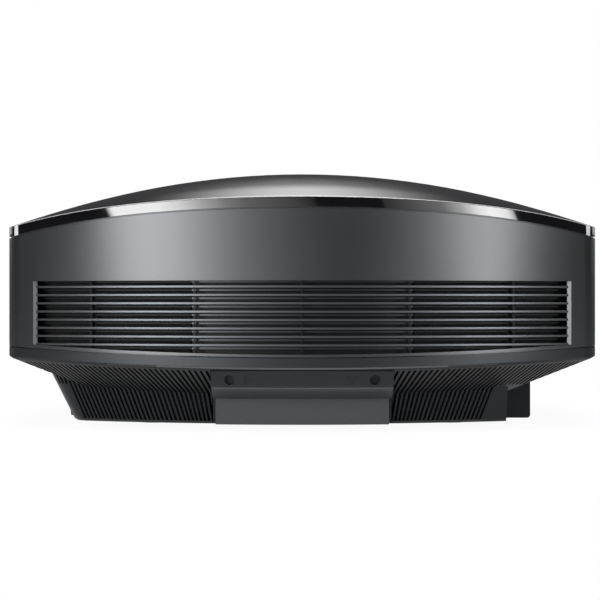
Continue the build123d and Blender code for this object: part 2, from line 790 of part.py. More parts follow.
def make_lower_case(shell, slots):
    """The lower case: shell, rib slots, lamp opening, foot pockets, bosses and screw holes."""
    floor_z = FLOOR_TOP_Z
    case = shell - cover_region(COVER_GAP)
    case -= slots
    pocket_top = FOOT_PAD_T + FOOT_WHEEL_T + SLIDE_FIT
    additions = []
    cuts = []
    for x, y in foot_places():
        roof = pocket_top + FLOOR
        additions.append(rod((0, 0, 1), FOOT_POCKET_R + FLOOR, (x, y, floor_z), roof - floor_z))
        cuts.append(rod((0, 0, 1), FOOT_POCKET_R, (x, y, 0), pocket_top))
        cuts.append(rod((0, 0, 1), FOOT_BUSH_R, (x, y, 0), FAR))
    for side in (1, -1):
        recess = FOOT_STANDOFF + REAR_FOOT_RECESS
        cuts.append(rod((0, 0, 1), REAR_FOOT_R + SLIDE_FIT, (side * FOOT_X, REAR_FOOT_Y, 0), recess))
    for x, y in insert_places():
        additions.append(rod((0, 0, 1), BOSS_R, (x, y, FOOT_STANDOFF), PLATE_Z - FOOT_STANDOFF))
        cuts.append(rod((0, 0, 1), INSERT_R, (x, y, 0), FOOT_STANDOFF + INSERT_LENGTH))
    for x, y in plate_boss_places():
        additions.append(rod((0, 0, 1), BOSS_R, (x, y, FOOT_STANDOFF), PLATE_Z - FOOT_STANDOFF))
        cuts.append(rod((0, 0, 1), CASE_SCREW_R + RUN_FIT, (x, y, FLOOR_TOP_Z), FAR))
    cuts.append(panel_window())
    return case + additions - cuts


def cover_brow(shift, half_width):
    """The proud part of the lamp cover, from the skirt down to a ridge and back to the plate."""
    corners = [
        (COVER_LIP_INSET, COVER_TOP_Z),
        (COVER_RIDGE_INSET, COVER_RIDGE_Z),
        (COVER_PLATE_INSET, COVER_PLATE_TOP_Z),
        (TUB_INSET, COVER_PLATE_TOP_Z),
        (TUB_INSET, COVER_TOP_Z),
    ]
    profile = Polyline(*[(END_ARC_R - inset - shift, z + shift) for inset, z in corners], close=True)
    brow = Pos(0, ARC_CENTRE_Y, 0) * revolve(Plane.XZ * make_face(profile), Axis.Z, 360)
    return brow & box(-half_width, half_width, 0, FAR, 0, FAR)


def make_lamp_cover(form, inner):
    """The lamp cover: a plate under a proud brow, in the middle of the back, with two screw bosses."""
    back = TUB_INSET + 2 * WALL
    plate = end_arc(COVER_PLATE_INSET, back, COVER_PLATE_HALF, FOOT_STANDOFF, COVER_PLATE_TOP_Z)
    outer = form + plate + cover_brow(0, COVER_HALF)
    cover = outer - inner - cover_brow(COVER_WALL, COVER_HALF - COVER_WALL)
    for side in (1, -1):
        at = (side * COVER_SCREW_X, HALF_D, COVER_SCREW_Z)
        cover += rod((0, -1, 0), COVER_BOSS_R, at, HALF_D - COVER_SEAT_Y + COVER_BOSS_LENGTH) & outer
    cover &= cover_region(0)
    for side in (1, -1):
        seat = (side * COVER_SCREW_X, COVER_SEAT_Y, COVER_SCREW_Z)
        cover -= rod((0, 1, 0), COVER_HEAD_R + COVER_HOLE_FIT, seat, HALF_D)
        cover -= rod((0, -1, 0), COVER_SHANK_R + COVER_HOLE_FIT, seat, HALF_D)
    return max(cover.solids(), key=lambda solid: solid.volume)


def make_cover_screws():
    """Two captive screws with cross slots, long enough to reach the base plate's tabs."""
    screws = []
    tab_y = TAB_Y - PLATE_THICKNESS
    for side in (1, -1):
        seat = (side * COVER_SCREW_X, COVER_SEAT_Y, COVER_SCREW_Z)
        head = rod((0, 1, 0), COVER_HEAD_R, seat, COVER_HEAD_T)
        slot = COVER_HEAD_R / 3
        top = COVER_SEAT_Y + COVER_HEAD_T
        for wide, tall in ((COVER_HEAD_R, slot), (slot, COVER_HEAD_R)):
            half_x = wide * COVER_SLOT_SHARE
            half_z = tall * COVER_SLOT_SHARE
            x = side * COVER_SCREW_X
            z = COVER_SCREW_Z
            head -= box(x - half_x, x + half_x, top - COVER_HEAD_T / 2, top, z - half_z, z + half_z)
        screws.append(head + rod((0, -1, 0), COVER_SHANK_R, seat, COVER_SEAT_Y - tab_y))
    return Part() + screws


def make_base_plate():
    """The folded sheet that carries the works, with two tabs for the lamp cover's screws."""
    plate = prism(PLATE_INSET, PLATE_Z, PLATE_Z + PLATE_THICKNESS, PLATE_CORNER_R)
    plate &= box(-PLATE_HALF_X, PLATE_HALF_X, -FAR, FAR, 0, FAR)
    for x, y in plate_boss_places():
        plate -= rod((0, 0, 1), CASE_SCREW_R + COVER_HOLE_FIT, (x, y, 0), FAR)
    for x, y in foot_places():
        plate -= rod((0, 0, 1), FOOT_POCKET_R, (x, y, 0), FAR)
    for side in (1, -1):
        x = side * COVER_SCREW_X
        top = PLATE_Z + TAB_HEIGHT
        tab_y = TAB_Y - PLATE_THICKNESS
        plate += box(x - TAB_WIDTH / 2, x + TAB_WIDTH / 2, tab_y, TAB_Y, PLATE_Z, top)
        plate -= rod((0, 1, 0), COVER_SHANK_R + RUN_FIT, (x, 0, COVER_SCREW_Z), FAR)
    return plate


def make_plate_screws():
    """The screws that hold the base plate on its bosses."""
    screws = []
    seat = PLATE_Z + PLATE_THICKNESS
    for x, y in plate_boss_places():
        head = rod((0, 0, 1), CASE_SCREW_HEAD_R, (x, y, seat), CASE_SCREW_HEAD_T)
        screws.append(head + rod((0, 0, -1), CASE_SCREW_R, (x, y, seat), PLATE_Z - FLOOR_TOP_Z))
    return Part() + screws


# Feet

def make_foot_pad(x, y):
    """The rubber pad under a front foot, with the spigot that the wheel turns on."""
    pad = rod((0, 0, 1), FOOT_PAD_R, (x, y, 0), FOOT_PAD_T)
    pad = fillet(pad.edges().sort_by(Axis.Z)[0], FOOT_PAD_T / 3)
    return pad + rod((0, 0, 1), FOOT_SPIGOT_R, (x, y, FOOT_PAD_T), FOOT_SPIGOT_LENGTH)


def make_foot_screw(x, y):
    """A front foot's notched wheel and threaded stud, drawn as a plain stud at its outside diameter."""
    base = FOOT_PAD_T + RUN_FIT
    wheel = rod((0, 0, 1), FOOT_WHEEL_R, (x, y, base), FOOT_WHEEL_T - RUN_FIT)
    notches = []
    for index in range(FOOT_WHEEL_NOTCHES):
        angle = 2 * math.pi * index / FOOT_WHEEL_NOTCHES
        notch_r = math.pi * FOOT_WHEEL_R / FOOT_WHEEL_NOTCHES / 2
        at = (x + FOOT_WHEEL_R * math.cos(angle), y + FOOT_WHEEL_R * math.sin(angle), base)
        notches.append(rod((0, 0, 1), notch_r, at, FOOT_WHEEL_T))
    wheel -= notches
    wheel += rod((0, 0, 1), FOOT_STUD_R, (x, y, base + FOOT_WHEEL_T / 2), FOOT_STUD_LENGTH)
    return wheel - rod((0, 0, 1), FOOT_SPIGOT_R + RUN_FIT, (x, y, 0), base + FOOT_SPIGOT_LENGTH + RUN_FIT)


def make_foot_bushes():
    """The threaded bushes that the front feet screw into."""
    bushes = []
    low_z = FOOT_PAD_T + FOOT_WHEEL_T + SLIDE_FIT
    for x, y in foot_places():
        at = (x, y, low_z)
        bushes.append(tube((0, 0, 1), FOOT_BUSH_R, FOOT_STUD_R + RUN_FIT, at, FOOT_BUSH_LENGTH))
    return Part() + bushes


def make_rear_feet():
    """The two fixed rubber feet."""
    feet = []
    for side in (1, -1):
        height = FOOT_STANDOFF + REAR_FOOT_RECESS
        foot = rod((0, 0, 1), REAR_FOOT_R, (side * FOOT_X, REAR_FOOT_Y, 0), height)
        feet.append(fillet(foot.edges().sort_by(Axis.Z)[0], REAR_FOOT_RECESS))
    return Part() + feet


def make_mount_inserts():
    """Threaded inserts in the floor, for a ceiling plate."""
    inserts = []
    for x, y in insert_places():
        inserts.append(tube((0, 0, 1), INSERT_R, INSERT_HOLE_R, (x, y, FOOT_STANDOFF), INSERT_LENGTH))
    return Part() + inserts


# Filters, sensor window and lens bezel

def make_intake_filters():
    """Two filter pads behind the open ends of the inner louvre."""
    near = SLAT_SETBACK + SLAT_DEPTH + LOUVRE_GAP + LOUVRE_DEPTH
    low_z = PARTING_Z + PARTING_GAP + GRILLE_FLANGE_LOW
    pad = end_arc(near, near + FILTER_THICKNESS, GRILLE_HALF, low_z, GRILLE_TOP_Z)
    return pad - box(-LOUVRE_PLATE_HALF - FILTER_GAP, LOUVRE_PLATE_HALF + FILTER_GAP, 0, FAR, 0, FAR)


def make_sensor_window():
    """The small dark window over the remote sensor."""
    near = WALL + SLIDE_FIT
    disc = rod((0, -1, 0), SENSOR_R, (SENSOR_X, -HALF_D / 2, SENSOR_Z), HALF_D)
    window = disc & end_arc(SLIDE_FIT, near + PANEL_T, FAR, 0, HEIGHT, -1)
    rim = rod((0, -1, 0), SENSOR_R + WALL, (SENSOR_X, -HALF_D / 2, SENSOR_Z), HALF_D)
    return window + (rim & end_arc(near, near + PANEL_T, FAR, 0, HEIGHT, -1))


def lens_axis(y):
    """A point on the lens axis."""
    return (0, y, LENS_Z)


def lens_turn(points):
    """A body turned about the lens axis from (radius, y) points."""
    profile = make_face(Polyline(*points, close=True))
    placed = Plane(origin=(0, 0, LENS_Z), x_dir=(1, 0, 0), z_dir=(0, 0, 1)) * profile
    return revolve(placed, Axis(lens_axis(0), (0, 1, 0)), 360)


def make_lens_bezel():
    """The funnel round the lens, with a flange behind the front wall."""
    outer_r = LENS_OPENING_R - SLIDE_FIT
    front_y = -HALF_D + BEZEL_LIP
    back_y = front_y + BEZEL_DEPTH
    near = WALL + SLIDE_FIT
    funnel = lens_turn(
        [
            (outer_r, front_y),
            (outer_r, front_y + 3 * BEZEL_WALL),
            (BEZEL_INNER_R + BEZEL_WALL, back_y),
            (BEZEL_INNER_R, back_y),
            (outer_r - BEZEL_WALL / 2, front_y),
        ]
    )
    flange = tube((0, -1, 0), BEZEL_FLANGE_R, outer_r - BEZEL_WALL, lens_axis(-HALF_D / 2), HALF_D)
    flange &= end_arc(near, near + BEZEL_WALL, FAR, 0, HEIGHT, -1)
    return funnel + flange


# Lens

def notched_ring(outer, inner, start, length, notches, notch_r):
    """A ring about the lens axis with grip notches along it."""
    body = tube((0, 1, 0), outer, inner, lens_axis(start), length)
    margin = start + length * (1 - RING_NOTCH_SHARE) / 2
    cuts = []
    for index in range(notches):
        angle = 2 * math.pi * index / notches
        at = (outer * math.cos(angle), margin, LENS_Z + outer * math.sin(angle))
        cuts.append(rod((0, 1, 0), notch_r, at, length * RING_NOTCH_SHARE))
    return body - cuts


def make_lens_barrel():
    """The lens tube with its flange and the stop that the front element sits on."""
    back = BARREL_REAR_Y - BARREL_FRONT_Y
    body = rod((0, 1, 0), BARREL_R, lens_axis(BARREL_FRONT_Y), back)
    body += rod((0, 1, 0), BARREL_FLANGE_R, lens_axis(cross_front_y() - BARREL_FLANGE_T), BARREL_FLANGE_T)
    body -= rod((0, 1, 0), BARREL_STOP_R, lens_axis(BARREL_FRONT_Y), back)
    bore_length = ELEMENT_SEAT_Y - BARREL_FRONT_Y
    return body - rod((0, 1, 0), BARREL_BORE_R, lens_axis(BARREL_FRONT_Y), bore_length)


def make_front_element():
    """The domed front glass, turned about the lens axis."""
    edge_y = ELEMENT_SEAT_Y - ELEMENT_EDGE_T
    radius = BARREL_BORE_R - RUN_FIT
    top = (0, edge_y - ELEMENT_BULGE)
    ball_r = (radius**2 + ELEMENT_BULGE**2) / (2 * ELEMENT_BULGE)
    mid_r = radius / 2
    mid = (mid_r, top[1] + ball_r - math.sqrt(ball_r**2 - mid_r**2))
    rim = (radius, edge_y)
    sides = Polyline(rim, (radius, ELEMENT_SEAT_Y), (0, ELEMENT_SEAT_Y), top)
    profile = make_face(Curve() + [sides, ThreePointArc(top, mid, rim)])
    placed = Plane(origin=(0, 0, LENS_Z), x_dir=(1, 0, 0), z_dir=(0, 0, 1)) * profile
    return revolve(placed, Axis(lens_axis(0), (0, 1, 0)), 360)


def make_rear_element():
    """The flat rear glass, in the end of the barrel."""
    return rod((0, -1, 0), BARREL_STOP_R - RUN_FIT, lens_axis(BARREL_REAR_Y), REAR_ELEMENT_T)


def make_zoom_ring():
    """The zoom ring and its lever."""
    bore = BARREL_R + RUN_FIT
    ring_part = notched_ring(ZOOM_R, bore, ZOOM_FRONT_Y, ZOOM_LENGTH, RING_NOTCHES, ZOOM_NOTCH_R)
    start = (0, ZOOM_FRONT_Y + ZOOM_LENGTH / 2, LENS_Z + ZOOM_R - ZOOM_LEVER_R)
    return ring_part + rod((0, 0, 1), ZOOM_LEVER_R, start, ZOOM_LEVER_LENGTH)


def make_focus_ring():
    """The ribbed focus ring."""
    bore = BARREL_R + RUN_FIT
    return notched_ring(FOCUS_R, bore, FOCUS_FRONT_Y, FOCUS_LENGTH, RING_NOTCHES, FOCUS_NOTCH_R)


# Lens shift

def riser_back_y():
    """The back face of the rising carriage."""
    return BULKHEAD_Y - RISER_BACK_GAP


def riser_front_y():
    """The front face of the rising carriage."""
    return riser_back_y() - RISER_T


def cross_back_y():
    """The back face of the crossing carriage."""
    return riser_front_y() - CROSS_GAP


def cross_front_y():
    """The front face of the crossing carriage."""
    return cross_back_y() - CROSS_T


def riser_rod_y():
    """The depth of the upright guide rods."""
    return riser_back_y() - RISER_T / 2


def cross_rod_y():
    """The depth of the level guide rods."""
    return cross_back_y() - CROSS_T / 2


def make_bulkhead():
    """The upright plate that stands on the base plate and carries the guide rods in four lugs."""
    low_z = PLATE_Z + PLATE_THICKNESS
    plate = box(-BULKHEAD_HALF, BULKHEAD_HALF, BULKHEAD_Y, BULKHEAD_Y + BULKHEAD_T, low_z, BULKHEAD_TOP_Z)
    plate -= rod((0, 1, 0), BULKHEAD_HOLE_R, lens_axis(BULKHEAD_Y), BULKHEAD_T)
    for x in (-SHIFT_ROD_X, SHIFT_ROD_X):
        for z in (LUG_LOW_Z, LUG_HIGH_Z):
            front = riser_rod_y() - LUG_SIZE / 2
            lug = box(x - LUG_SIZE / 2, x + LUG_SIZE / 2, front, BULKHEAD_Y, z, z + LUG_T)
            plate += lug - rod((0, 0, 1), SHIFT_ROD_R + RUN_FIT, (x, riser_rod_y(), z), LUG_T)
    return plate


def make_riser_rods():
    """The two upright guide rods."""
    length = LUG_HIGH_Z + LUG_T - LUG_LOW_Z
    rods = []
    for x in (-SHIFT_ROD_X, SHIFT_ROD_X):
        rods.append(rod((0, 0, 1), SHIFT_ROD_R, (x, riser_rod_y(), LUG_LOW_Z), length))
    return Part() + rods


def make_riser():
    """The carriage that rises and falls, with lugs for the level rods."""
    low = LENS_Z - RISER_HALF_Z
    high = LENS_Z + RISER_HALF_Z
    body = box(-RISER_HALF_X, RISER_HALF_X, riser_front_y(), riser_back_y(), low, high)
    for x in (-SHIFT_ROD_X, SHIFT_ROD_X):
        body -= rod((0, 0, 1), SHIFT_ROD_R + RUN_FIT, (x, riser_rod_y(), low), high - low)
    body -= rod((0, 1, 0), BULKHEAD_HOLE_R, lens_axis(riser_front_y()), RISER_T)
    for side in (1, -1):
        for z in (LENS_Z - SHIFT_ROD_Z, LENS_Z + SHIFT_ROD_Z):
            x0 = side * CROSS_LUG_X
            x1 = side * (CROSS_LUG_X + LUG_T)
            half = LUG_SIZE / 2
            lug = box(x0, x1, cross_rod_y() - half, riser_front_y(), z - half, z + half)
            body += lug - rod((side, 0, 0), SHIFT_ROD_R + RUN_FIT, (x0, cross_rod_y(), z), LUG_T)
    return body


def make_cross_rods():
    """The two level guide rods."""
    half = CROSS_LUG_X + LUG_T
    rods = []
    for z in (LENS_Z - SHIFT_ROD_Z, LENS_Z + SHIFT_ROD_Z):
        rods.append(rod((1, 0, 0), SHIFT_ROD_R, (-half, cross_rod_y(), z), 2 * half))
    return Part() + rods


def make_cross():
    """The carriage that moves across and holds the lens."""
    low = LENS_Z - CROSS_HALF_Z
    high = LENS_Z + CROSS_HALF_Z
    body = box(-CROSS_HALF_X, CROSS_HALF_X, cross_front_y(), cross_back_y(), low, high)
    for z in (LENS_Z - SHIFT_ROD_Z, LENS_Z + SHIFT_ROD_Z):
        body -= rod((1, 0, 0), SHIFT_ROD_R + RUN_FIT, (-CROSS_HALF_X, cross_rod_y(), z), 2 * CROSS_HALF_X)
    return body - rod((0, 1, 0), BARREL_R + RUN_FIT, lens_axis(cross_front_y()), CROSS_T)


# Lens shift dials

def dial_centre(x):
    """The middle of a dial that stands a little proud of the top."""
    return (x, DIAL_Y, dome_z(x, DIAL_Y) + DIAL_PROUD - DIAL_R)


def make_dial(x, axis):
    """A notched wheel with a bore for its axle."""
    centre = Vector(*dial_centre(x))
    along = Vector(*axis)
    across = Vector(0, 0, 1).cross(along)
    start = centre - along * (DIAL_T / 2)
    wheel = tube(axis, DIAL_R, DIAL_AXLE_R + RUN_FIT, tuple(start), DIAL_T)
    cuts = []
    for index in range(DIAL_NOTCHES):
        angle = 2 * math.pi * index / DIAL_NOTCHES
        rim = across * (DIAL_R * math.cos(angle)) + Vector(0, 0, DIAL_R * math.sin(angle))
        cuts.append(rod(axis, DIAL_NOTCH_R, tuple(start + rim), DIAL_T))
    return wheel - cuts


def dial_slot(x, axis):
    """The slot in the top that a dial shows through."""
    centre = dial_centre(x)
    half_side = DIAL_T / 2 + DIAL_SLOT_SIDE
    half_x = half_side if axis[0] else DIAL_SLOT_HALF
    half_y = DIAL_SLOT_HALF if axis[0] else half_side
    return box(x - half_x, x + half_x, DIAL_Y - half_y, DIAL_Y + half_y, centre[2], FAR)


def make_dial_bracket(x, axis):
    """Two ears under the top with the axle of a dial across them."""
    centre = dial_centre(x)
    inner = DIAL_T / 2 + DIAL_EAR_GAP
    outer = inner + DIAL_EAR_T
    half = DIAL_EAR_WIDTH / 2
    reach = Vector(*axis) * outer
    start = tuple(Vector(*centre) - reach)
    bracket = rod(axis, DIAL_AXLE_R, start, 2 * outer)
    for side in (1, -1):
        near = min(side * inner, side * outer)
        far = max(side * inner, side * outer)
        if axis[0]:
            ear = box(x + near, x + far, DIAL_Y - half, DIAL_Y + half, centre[2] - half, HEIGHT)
        else:
            ear = box(x - half, x + half, DIAL_Y + near, DIAL_Y + far, centre[2] - half, HEIGHT)
        bracket += ear & dome(TOP_WALL)
    return bracket


# Fans

def fan_axis(side, y):
    """A point on the axis of one fan."""
    return (side * FAN_X, y, FAN_Z)


def make_fan_frame(side):
    """A square fan frame with a motor plate on four struts and a stand below."""
    half = FAN_SIZE / 2
    back_y = FAN_FRONT_Y + FAN_DEPTH
    plate_y = back_y - FAN_PLATE_T
    frame = Pos(*fan_axis(side, (FAN_FRONT_Y + back_y) / 2)) * Box(FAN_SIZE, FAN_DEPTH, FAN_SIZE)
    frame = fillet(frame.edges().filter_by(Axis.Y), FAN_CORNER_R)
    frame -= rod((0, 1, 0), FAN_BORE_R, fan_axis(side, FAN_FRONT_Y), FAN_DEPTH)
    frame += rod((0, 1, 0), FAN_HUB_R, fan_axis(side, plate_y), FAN_PLATE_T)
    for turn in (45, -45):
        strut = Box(FAN_SIZE, FAN_PLATE_T, FAN_STRUT)
        frame += Pos(*fan_axis(side, plate_y + FAN_PLATE_T / 2)) * Rot(0, turn, 0) * strut
    stand_x = side * FAN_STAND_X
    stand_y = (FAN_FRONT_Y + FAN_FRONT_Y + FAN_STAND_DEPTH) / 2
    low_z = PLATE_Z + PLATE_THICKNESS
    high_z = FAN_Z - half + FAN_PLATE_T / 2
    stand = Box(FAN_STAND_WIDTH, FAN_STAND_DEPTH, high_z - low_z)
    return frame + Pos(stand_x, stand_y, (low_z + high_z) / 2) * stand


def make_fan_rotor(side):
    """The hub and twisted blades of one fan."""
    back_y = FAN_FRONT_Y + FAN_DEPTH - FAN_PLATE_T - FAN_AXIAL_GAP
    hub_y = back_y - FAN_HUB_LENGTH
    mid_y = (hub_y + back_y) / 2
    rotor = rod((0, 1, 0), FAN_HUB_R, fan_axis(side, hub_y), FAN_HUB_LENGTH)
    reach = FAN_BLADE_R - FAN_HUB_R / 2
    blade = Rot(FAN_BLADE_TWIST, 0, 0) * Box(reach, FAN_BLADE_WIDTH, FAN_BLADE_T)
    blade = Pos((FAN_HUB_R / 2 + FAN_BLADE_R) / 2, 0, 0) * blade
    blade -= Rot(90, 0, 0) * Cylinder(FAN_HUB_R / 2, FAN_SIZE)
    blade &= Rot(90, 0, 0) * Cylinder(FAN_BLADE_R, FAN_SIZE)
    for index in range(FAN_BLADES):
        rotor += Pos(*fan_axis(side, mid_y)) * Rot(0, 360 * index / FAN_BLADES, 0) * blade
    return rotor


# Light engine and lamp

def make_optical_engine():
    """The cast box behind the lens, open to the lens and the lamp, with a post for the prism."""
    low_z = PLATE_Z + PLATE_THICKNESS
    back_y = ENGINE_FRONT_Y + ENGINE_LENGTH
    wall = ENGINE_WALL
    outer = box(-ENGINE_HALF_X, ENGINE_HALF_X, ENGINE_FRONT_Y, back_y, low_z, ENGINE_TOP_Z)
    inner = box(
        -ENGINE_HALF_X + wall,
        ENGINE_HALF_X - wall,
        ENGINE_FRONT_Y + wall,
        back_y - wall,
        low_z + wall,
        ENGINE_TOP_Z - wall,
    )
    body = outer - inner
    body -= rod((0, 1, 0), BULKHEAD_HOLE_R, lens_axis(ENGINE_FRONT_Y), wall)
    body -= rod((0, 1, 0), ENGINE_PORT_R, (0, back_y - wall, LAMP_Z), wall)
    half = PRISM_POST / 2
    post_top = LENS_Z - PRISM_SIZE / 2
    return body + box(-half, half, PRISM_Y - half, PRISM_Y + half, low_z + wall / 2, post_top)


def make_prism_block():
    """The glass cube that joins the three colours."""
    return Pos(0, PRISM_Y, LENS_Z) * Box(PRISM_SIZE, PRISM_SIZE, PRISM_SIZE)


def make_imager_modules():
    """The three picture panels, held on three faces of the prism."""
    near = PRISM_SIZE / 2
    side_panel = Box(IMAGER_T, IMAGER_SIZE, IMAGER_SIZE)
    rear_panel = Box(IMAGER_SIZE, IMAGER_T, IMAGER_SIZE)
    offset = near + IMAGER_T / 2
    modules = [
        Pos(offset, PRISM_Y, LENS_Z) * side_panel,
        Pos(-offset, PRISM_Y, LENS_Z) * side_panel,
        Pos(0, PRISM_Y + offset, LENS_Z) * rear_panel,
    ]
    return Part() + modules


def make_lamp_housing():
    """The lamp box with a port towards the light engine and an open back."""
    low_z = PLATE_Z + PLATE_THICKNESS
    back_y = LAMP_FRONT_Y + LAMP_LENGTH
    wall = LAMP_WALL
    body = box(-LAMP_HALF_X, LAMP_HALF_X, LAMP_FRONT_Y, back_y, low_z, LAMP_TOP_Z)
    body -= box(
        -LAMP_HALF_X + wall,
        LAMP_HALF_X - wall,
        LAMP_FRONT_Y + wall,
        back_y,
        low_z + wall,
        LAMP_TOP_Z - wall,
    )
    return body - rod((0, 1, 0), LAMP_PORT_R, (0, LAMP_FRONT_Y, LAMP_Z), wall)


def lamp_turn(points):
    """A body turned about the lamp axis from (radius, y) points."""
    profile = make_face(Polyline(*points, close=True))
    placed = Plane(origin=(0, 0, LAMP_Z), x_dir=(1, 0, 0), z_dir=(0, 0, 1)) * profile
    return revolve(placed, Axis((0, 0, LAMP_Z), (0, 1, 0)), 360)


def make_lamp_reflector():
    """The glass reflector with its neck and the sealed lamp inside it, on the housing's front wall."""
    front_y = LAMP_FRONT_Y + LAMP_WALL
    back_y = front_y + REFLECTOR_DEPTH
    mid_y = front_y + REFLECTOR_DEPTH * REFLECTOR_KNEE
    mid_r = REFLECTOR_R * REFLECTOR_KNEE_R
    return lamp_turn(
        [
            (0, back_y + REFLECTOR_NECK_LENGTH),
            (REFLECTOR_NECK_R, back_y + REFLECTOR_NECK_LENGTH),
            (REFLECTOR_NECK_R, back_y),
            (mid_r, mid_y),
            (REFLECTOR_R, front_y),
            (REFLECTOR_R - REFLECTOR_T, front_y),
            (mid_r - REFLECTOR_T, mid_y),
            (REFLECTOR_BURNER_R, back_y - REFLECTOR_T),
            (REFLECTOR_BURNER_R, front_y + REFLECTOR_T),
            (0, front_y + REFLECTOR_T),
        ]
    )


# Boards and supplies

def make_lamp_ballast():
    """The lamp supply, a closed box with cooling fins on top."""
    low_z = PLATE_Z + PLATE_THICKNESS
    high_z = low_z + BALLAST_HEIGHT
    body = box(BALLAST_X, BALLAST_X + BALLAST_WIDTH, BALLAST_Y, BALLAST_Y + BALLAST_LENGTH, low_z, high_z)
    step = (BALLAST_WIDTH - BALLAST_FIN_T) / (BALLAST_FINS - 1)
    for index in range(BALLAST_FINS):
        x = BALLAST_X + index * step
        y1 = BALLAST_Y + BALLAST_LENGTH
        body += box(x, x + BALLAST_FIN_T, BALLAST_Y, y1, high_z, high_z + BALLAST_FIN_HEIGHT)
    return body


def make_power_supply():
    """The power board on four posts, with its coil, capacitors and heat sink."""
    base_z = PLATE_Z + PLATE_THICKNESS
    low_z = base_z + BOARD_LIFT
    high_z = low_z + BOARD_T
    x0 = -BALLAST_X - BALLAST_WIDTH
    x1 = -BALLAST_X
    y1 = BALLAST_Y + BALLAST_LENGTH
    body = box(x0, x1, BALLAST_Y, y1, low_z, high_z)
    for x in (x0 + 2 * BOARD_POST_R, x1 - 2 * BOARD_POST_R):
        for y in (BALLAST_Y + 2 * BOARD_POST_R, y1 - 2 * BOARD_POST_R):
            body += rod((0, 0, 1), BOARD_POST_R, (x, y, base_z), BOARD_LIFT)
    for (wide, deep, tall), (off_x, off_y) in ((COIL_SIZE, COIL_AT), (SINK_SIZE, SINK_AT)):
        x = x0 + off_x
        y = BALLAST_Y + off_y
        body += box(x, x + wide, y, y + deep, high_z, high_z + tall)
    for off_y in CAPACITOR_ROW:
        at = (x1 - CAPACITOR_INSET, BALLAST_Y + off_y, high_z)
        body += rod((0, 0, 1), CAPACITOR_R, at, CAPACITOR_HEIGHT)
    return body


def make_main_board():
    """The upright main board, on edge behind the connector panel."""
    x1 = MAIN_BOARD_X + BOARD_T
    y1 = MAIN_BOARD_Y + MAIN_BOARD_LENGTH
    body = box(MAIN_BOARD_X, x1, MAIN_BOARD_Y, y1, FLOOR_TOP_Z, FLOOR_TOP_Z + MAIN_BOARD_HEIGHT)
    for y, z, size in CHIPS:
        body += box(x1, x1 + CHIP_T, y - size / 2, y + size / 2, z - size / 2, z + size / 2)
    return body


# Connector panel and sockets

def socket_block(y, size, x0, x1):
    """A box through the connector panel, centred at a depth along the side."""
    half_y = size[0] / 2
    half_z = size[1] / 2
    return box(x0, x1, y - half_y, y + half_y, SOCKET_Z - half_z, SOCKET_Z + half_z)


def panel_face_x():
    """The outer face of the connector panel, on the inside of the bay wall."""
    return BAY_X + WALL


def socket_face_x():
    """The outer face of the sockets, a little proud of the panel."""
    return panel_face_x() - SOCKET_PROUD


def panel_window():
    """The opening in the bay wall that shows the connector panel."""
    y0 = PANEL_Y0 + PANEL_RIM
    y1 = PANEL_Y1 - PANEL_RIM
    return box(BAY_X - WALL, BAY_X + 2 * WALL, y0, y1, PANEL_LOW_Z, PANEL_LOW_Z + PANEL_HEIGHT)


def make_connector_panel():
    """The metal panel with a hole for each socket."""
    x0 = panel_face_x()
    x1 = x0 + PANEL_T
    plate = box(x0, x1, PANEL_Y0, PANEL_Y1, FLOOR_TOP_Z, PANEL_LOW_Z + PANEL_HEIGHT)
    fit = 2 * SLIDE_FIT
    places = [(INLET_Y, INLET_SIZE), (LAN_Y, LAN_SIZE)]
    places += [(y, HDMI_SIZE) for y in HDMI_YS]
    for y, size in places:
        plate -= socket_block(y, (size[0] + fit, size[1] + fit), x0, x1)
    for y in JACK_YS:
        plate -= rod((1, 0, 0), JACK_R + SLIDE_FIT, (x0, y, SOCKET_Z), PANEL_T)
    return plate


def make_ac_inlet():
    """The mains inlet with three blades in its mouth."""
    x0 = socket_face_x()
    rear = MAIN_BOARD_X
    body = socket_block(INLET_Y, INLET_SIZE, x0, rear)
    body -= socket_block(INLET_Y, INLET_MOUTH, x0, x0 + INLET_DEPTH - WALL)
    for offset, lift in ((-INLET_PIN_Y, -INLET_PIN_Z), (0, INLET_PIN_Z), (INLET_PIN_Y, -INLET_PIN_Z)):
        y = INLET_Y + offset
        z = SOCKET_Z + lift
        half_y = INLET_PIN[0] / 2
        half_z = INLET_PIN[1] / 2
        tip_x = x0 + CONTACT_SETBACK
        body += box(tip_x, x0 + INLET_DEPTH, y - half_y, y + half_y, z - half_z, z + half_z)
    return body


def make_hdmi_sockets():
    """Two picture inputs, each a metal shell round a tongue."""
    x0 = socket_face_x()
    sockets = []
    for y in HDMI_YS:
        body = socket_block(y, HDMI_SIZE, x0, MAIN_BOARD_X)
        body -= socket_block(y, HDMI_MOUTH, x0, x0 + HDMI_DEPTH)
        sockets.append(body + socket_block(y, HDMI_TONGUE, x0 + CONTACT_SETBACK, x0 + HDMI_DEPTH + WALL))
    return Part() + sockets


def make_lan_socket():
    """The network socket."""
    x0 = socket_face_x()
    body = socket_block(LAN_Y, LAN_SIZE, x0, MAIN_BOARD_X)
    return body - socket_block(LAN_Y, LAN_MOUTH, x0, x0 + LAN_DEPTH)


def make_component_jacks():
    """Three round video jacks."""
    x0 = panel_face_x()
    jacks = []
    for y in JACK_YS:
        body = socket_block(y, (JACK_BASE, JACK_BASE), x0 + PANEL_T + SLIDE_FIT, MAIN_BOARD_X)
        body += rod((1, 0, 0), JACK_R, (x0 - JACK_PROUD, y, SOCKET_Z), JACK_PROUD + 2 * WALL)
        jacks.append(body - rod((1, 0, 0), JACK_HOLE_R, (x0 - JACK_PROUD, y, SOCKET_Z), JACK_PROUD))
    return Part() + jacks


# Control plate and keys

def control_face_x():
    """The outer face of the control plate."""
    return -HALF_W + CONTROL_FACE


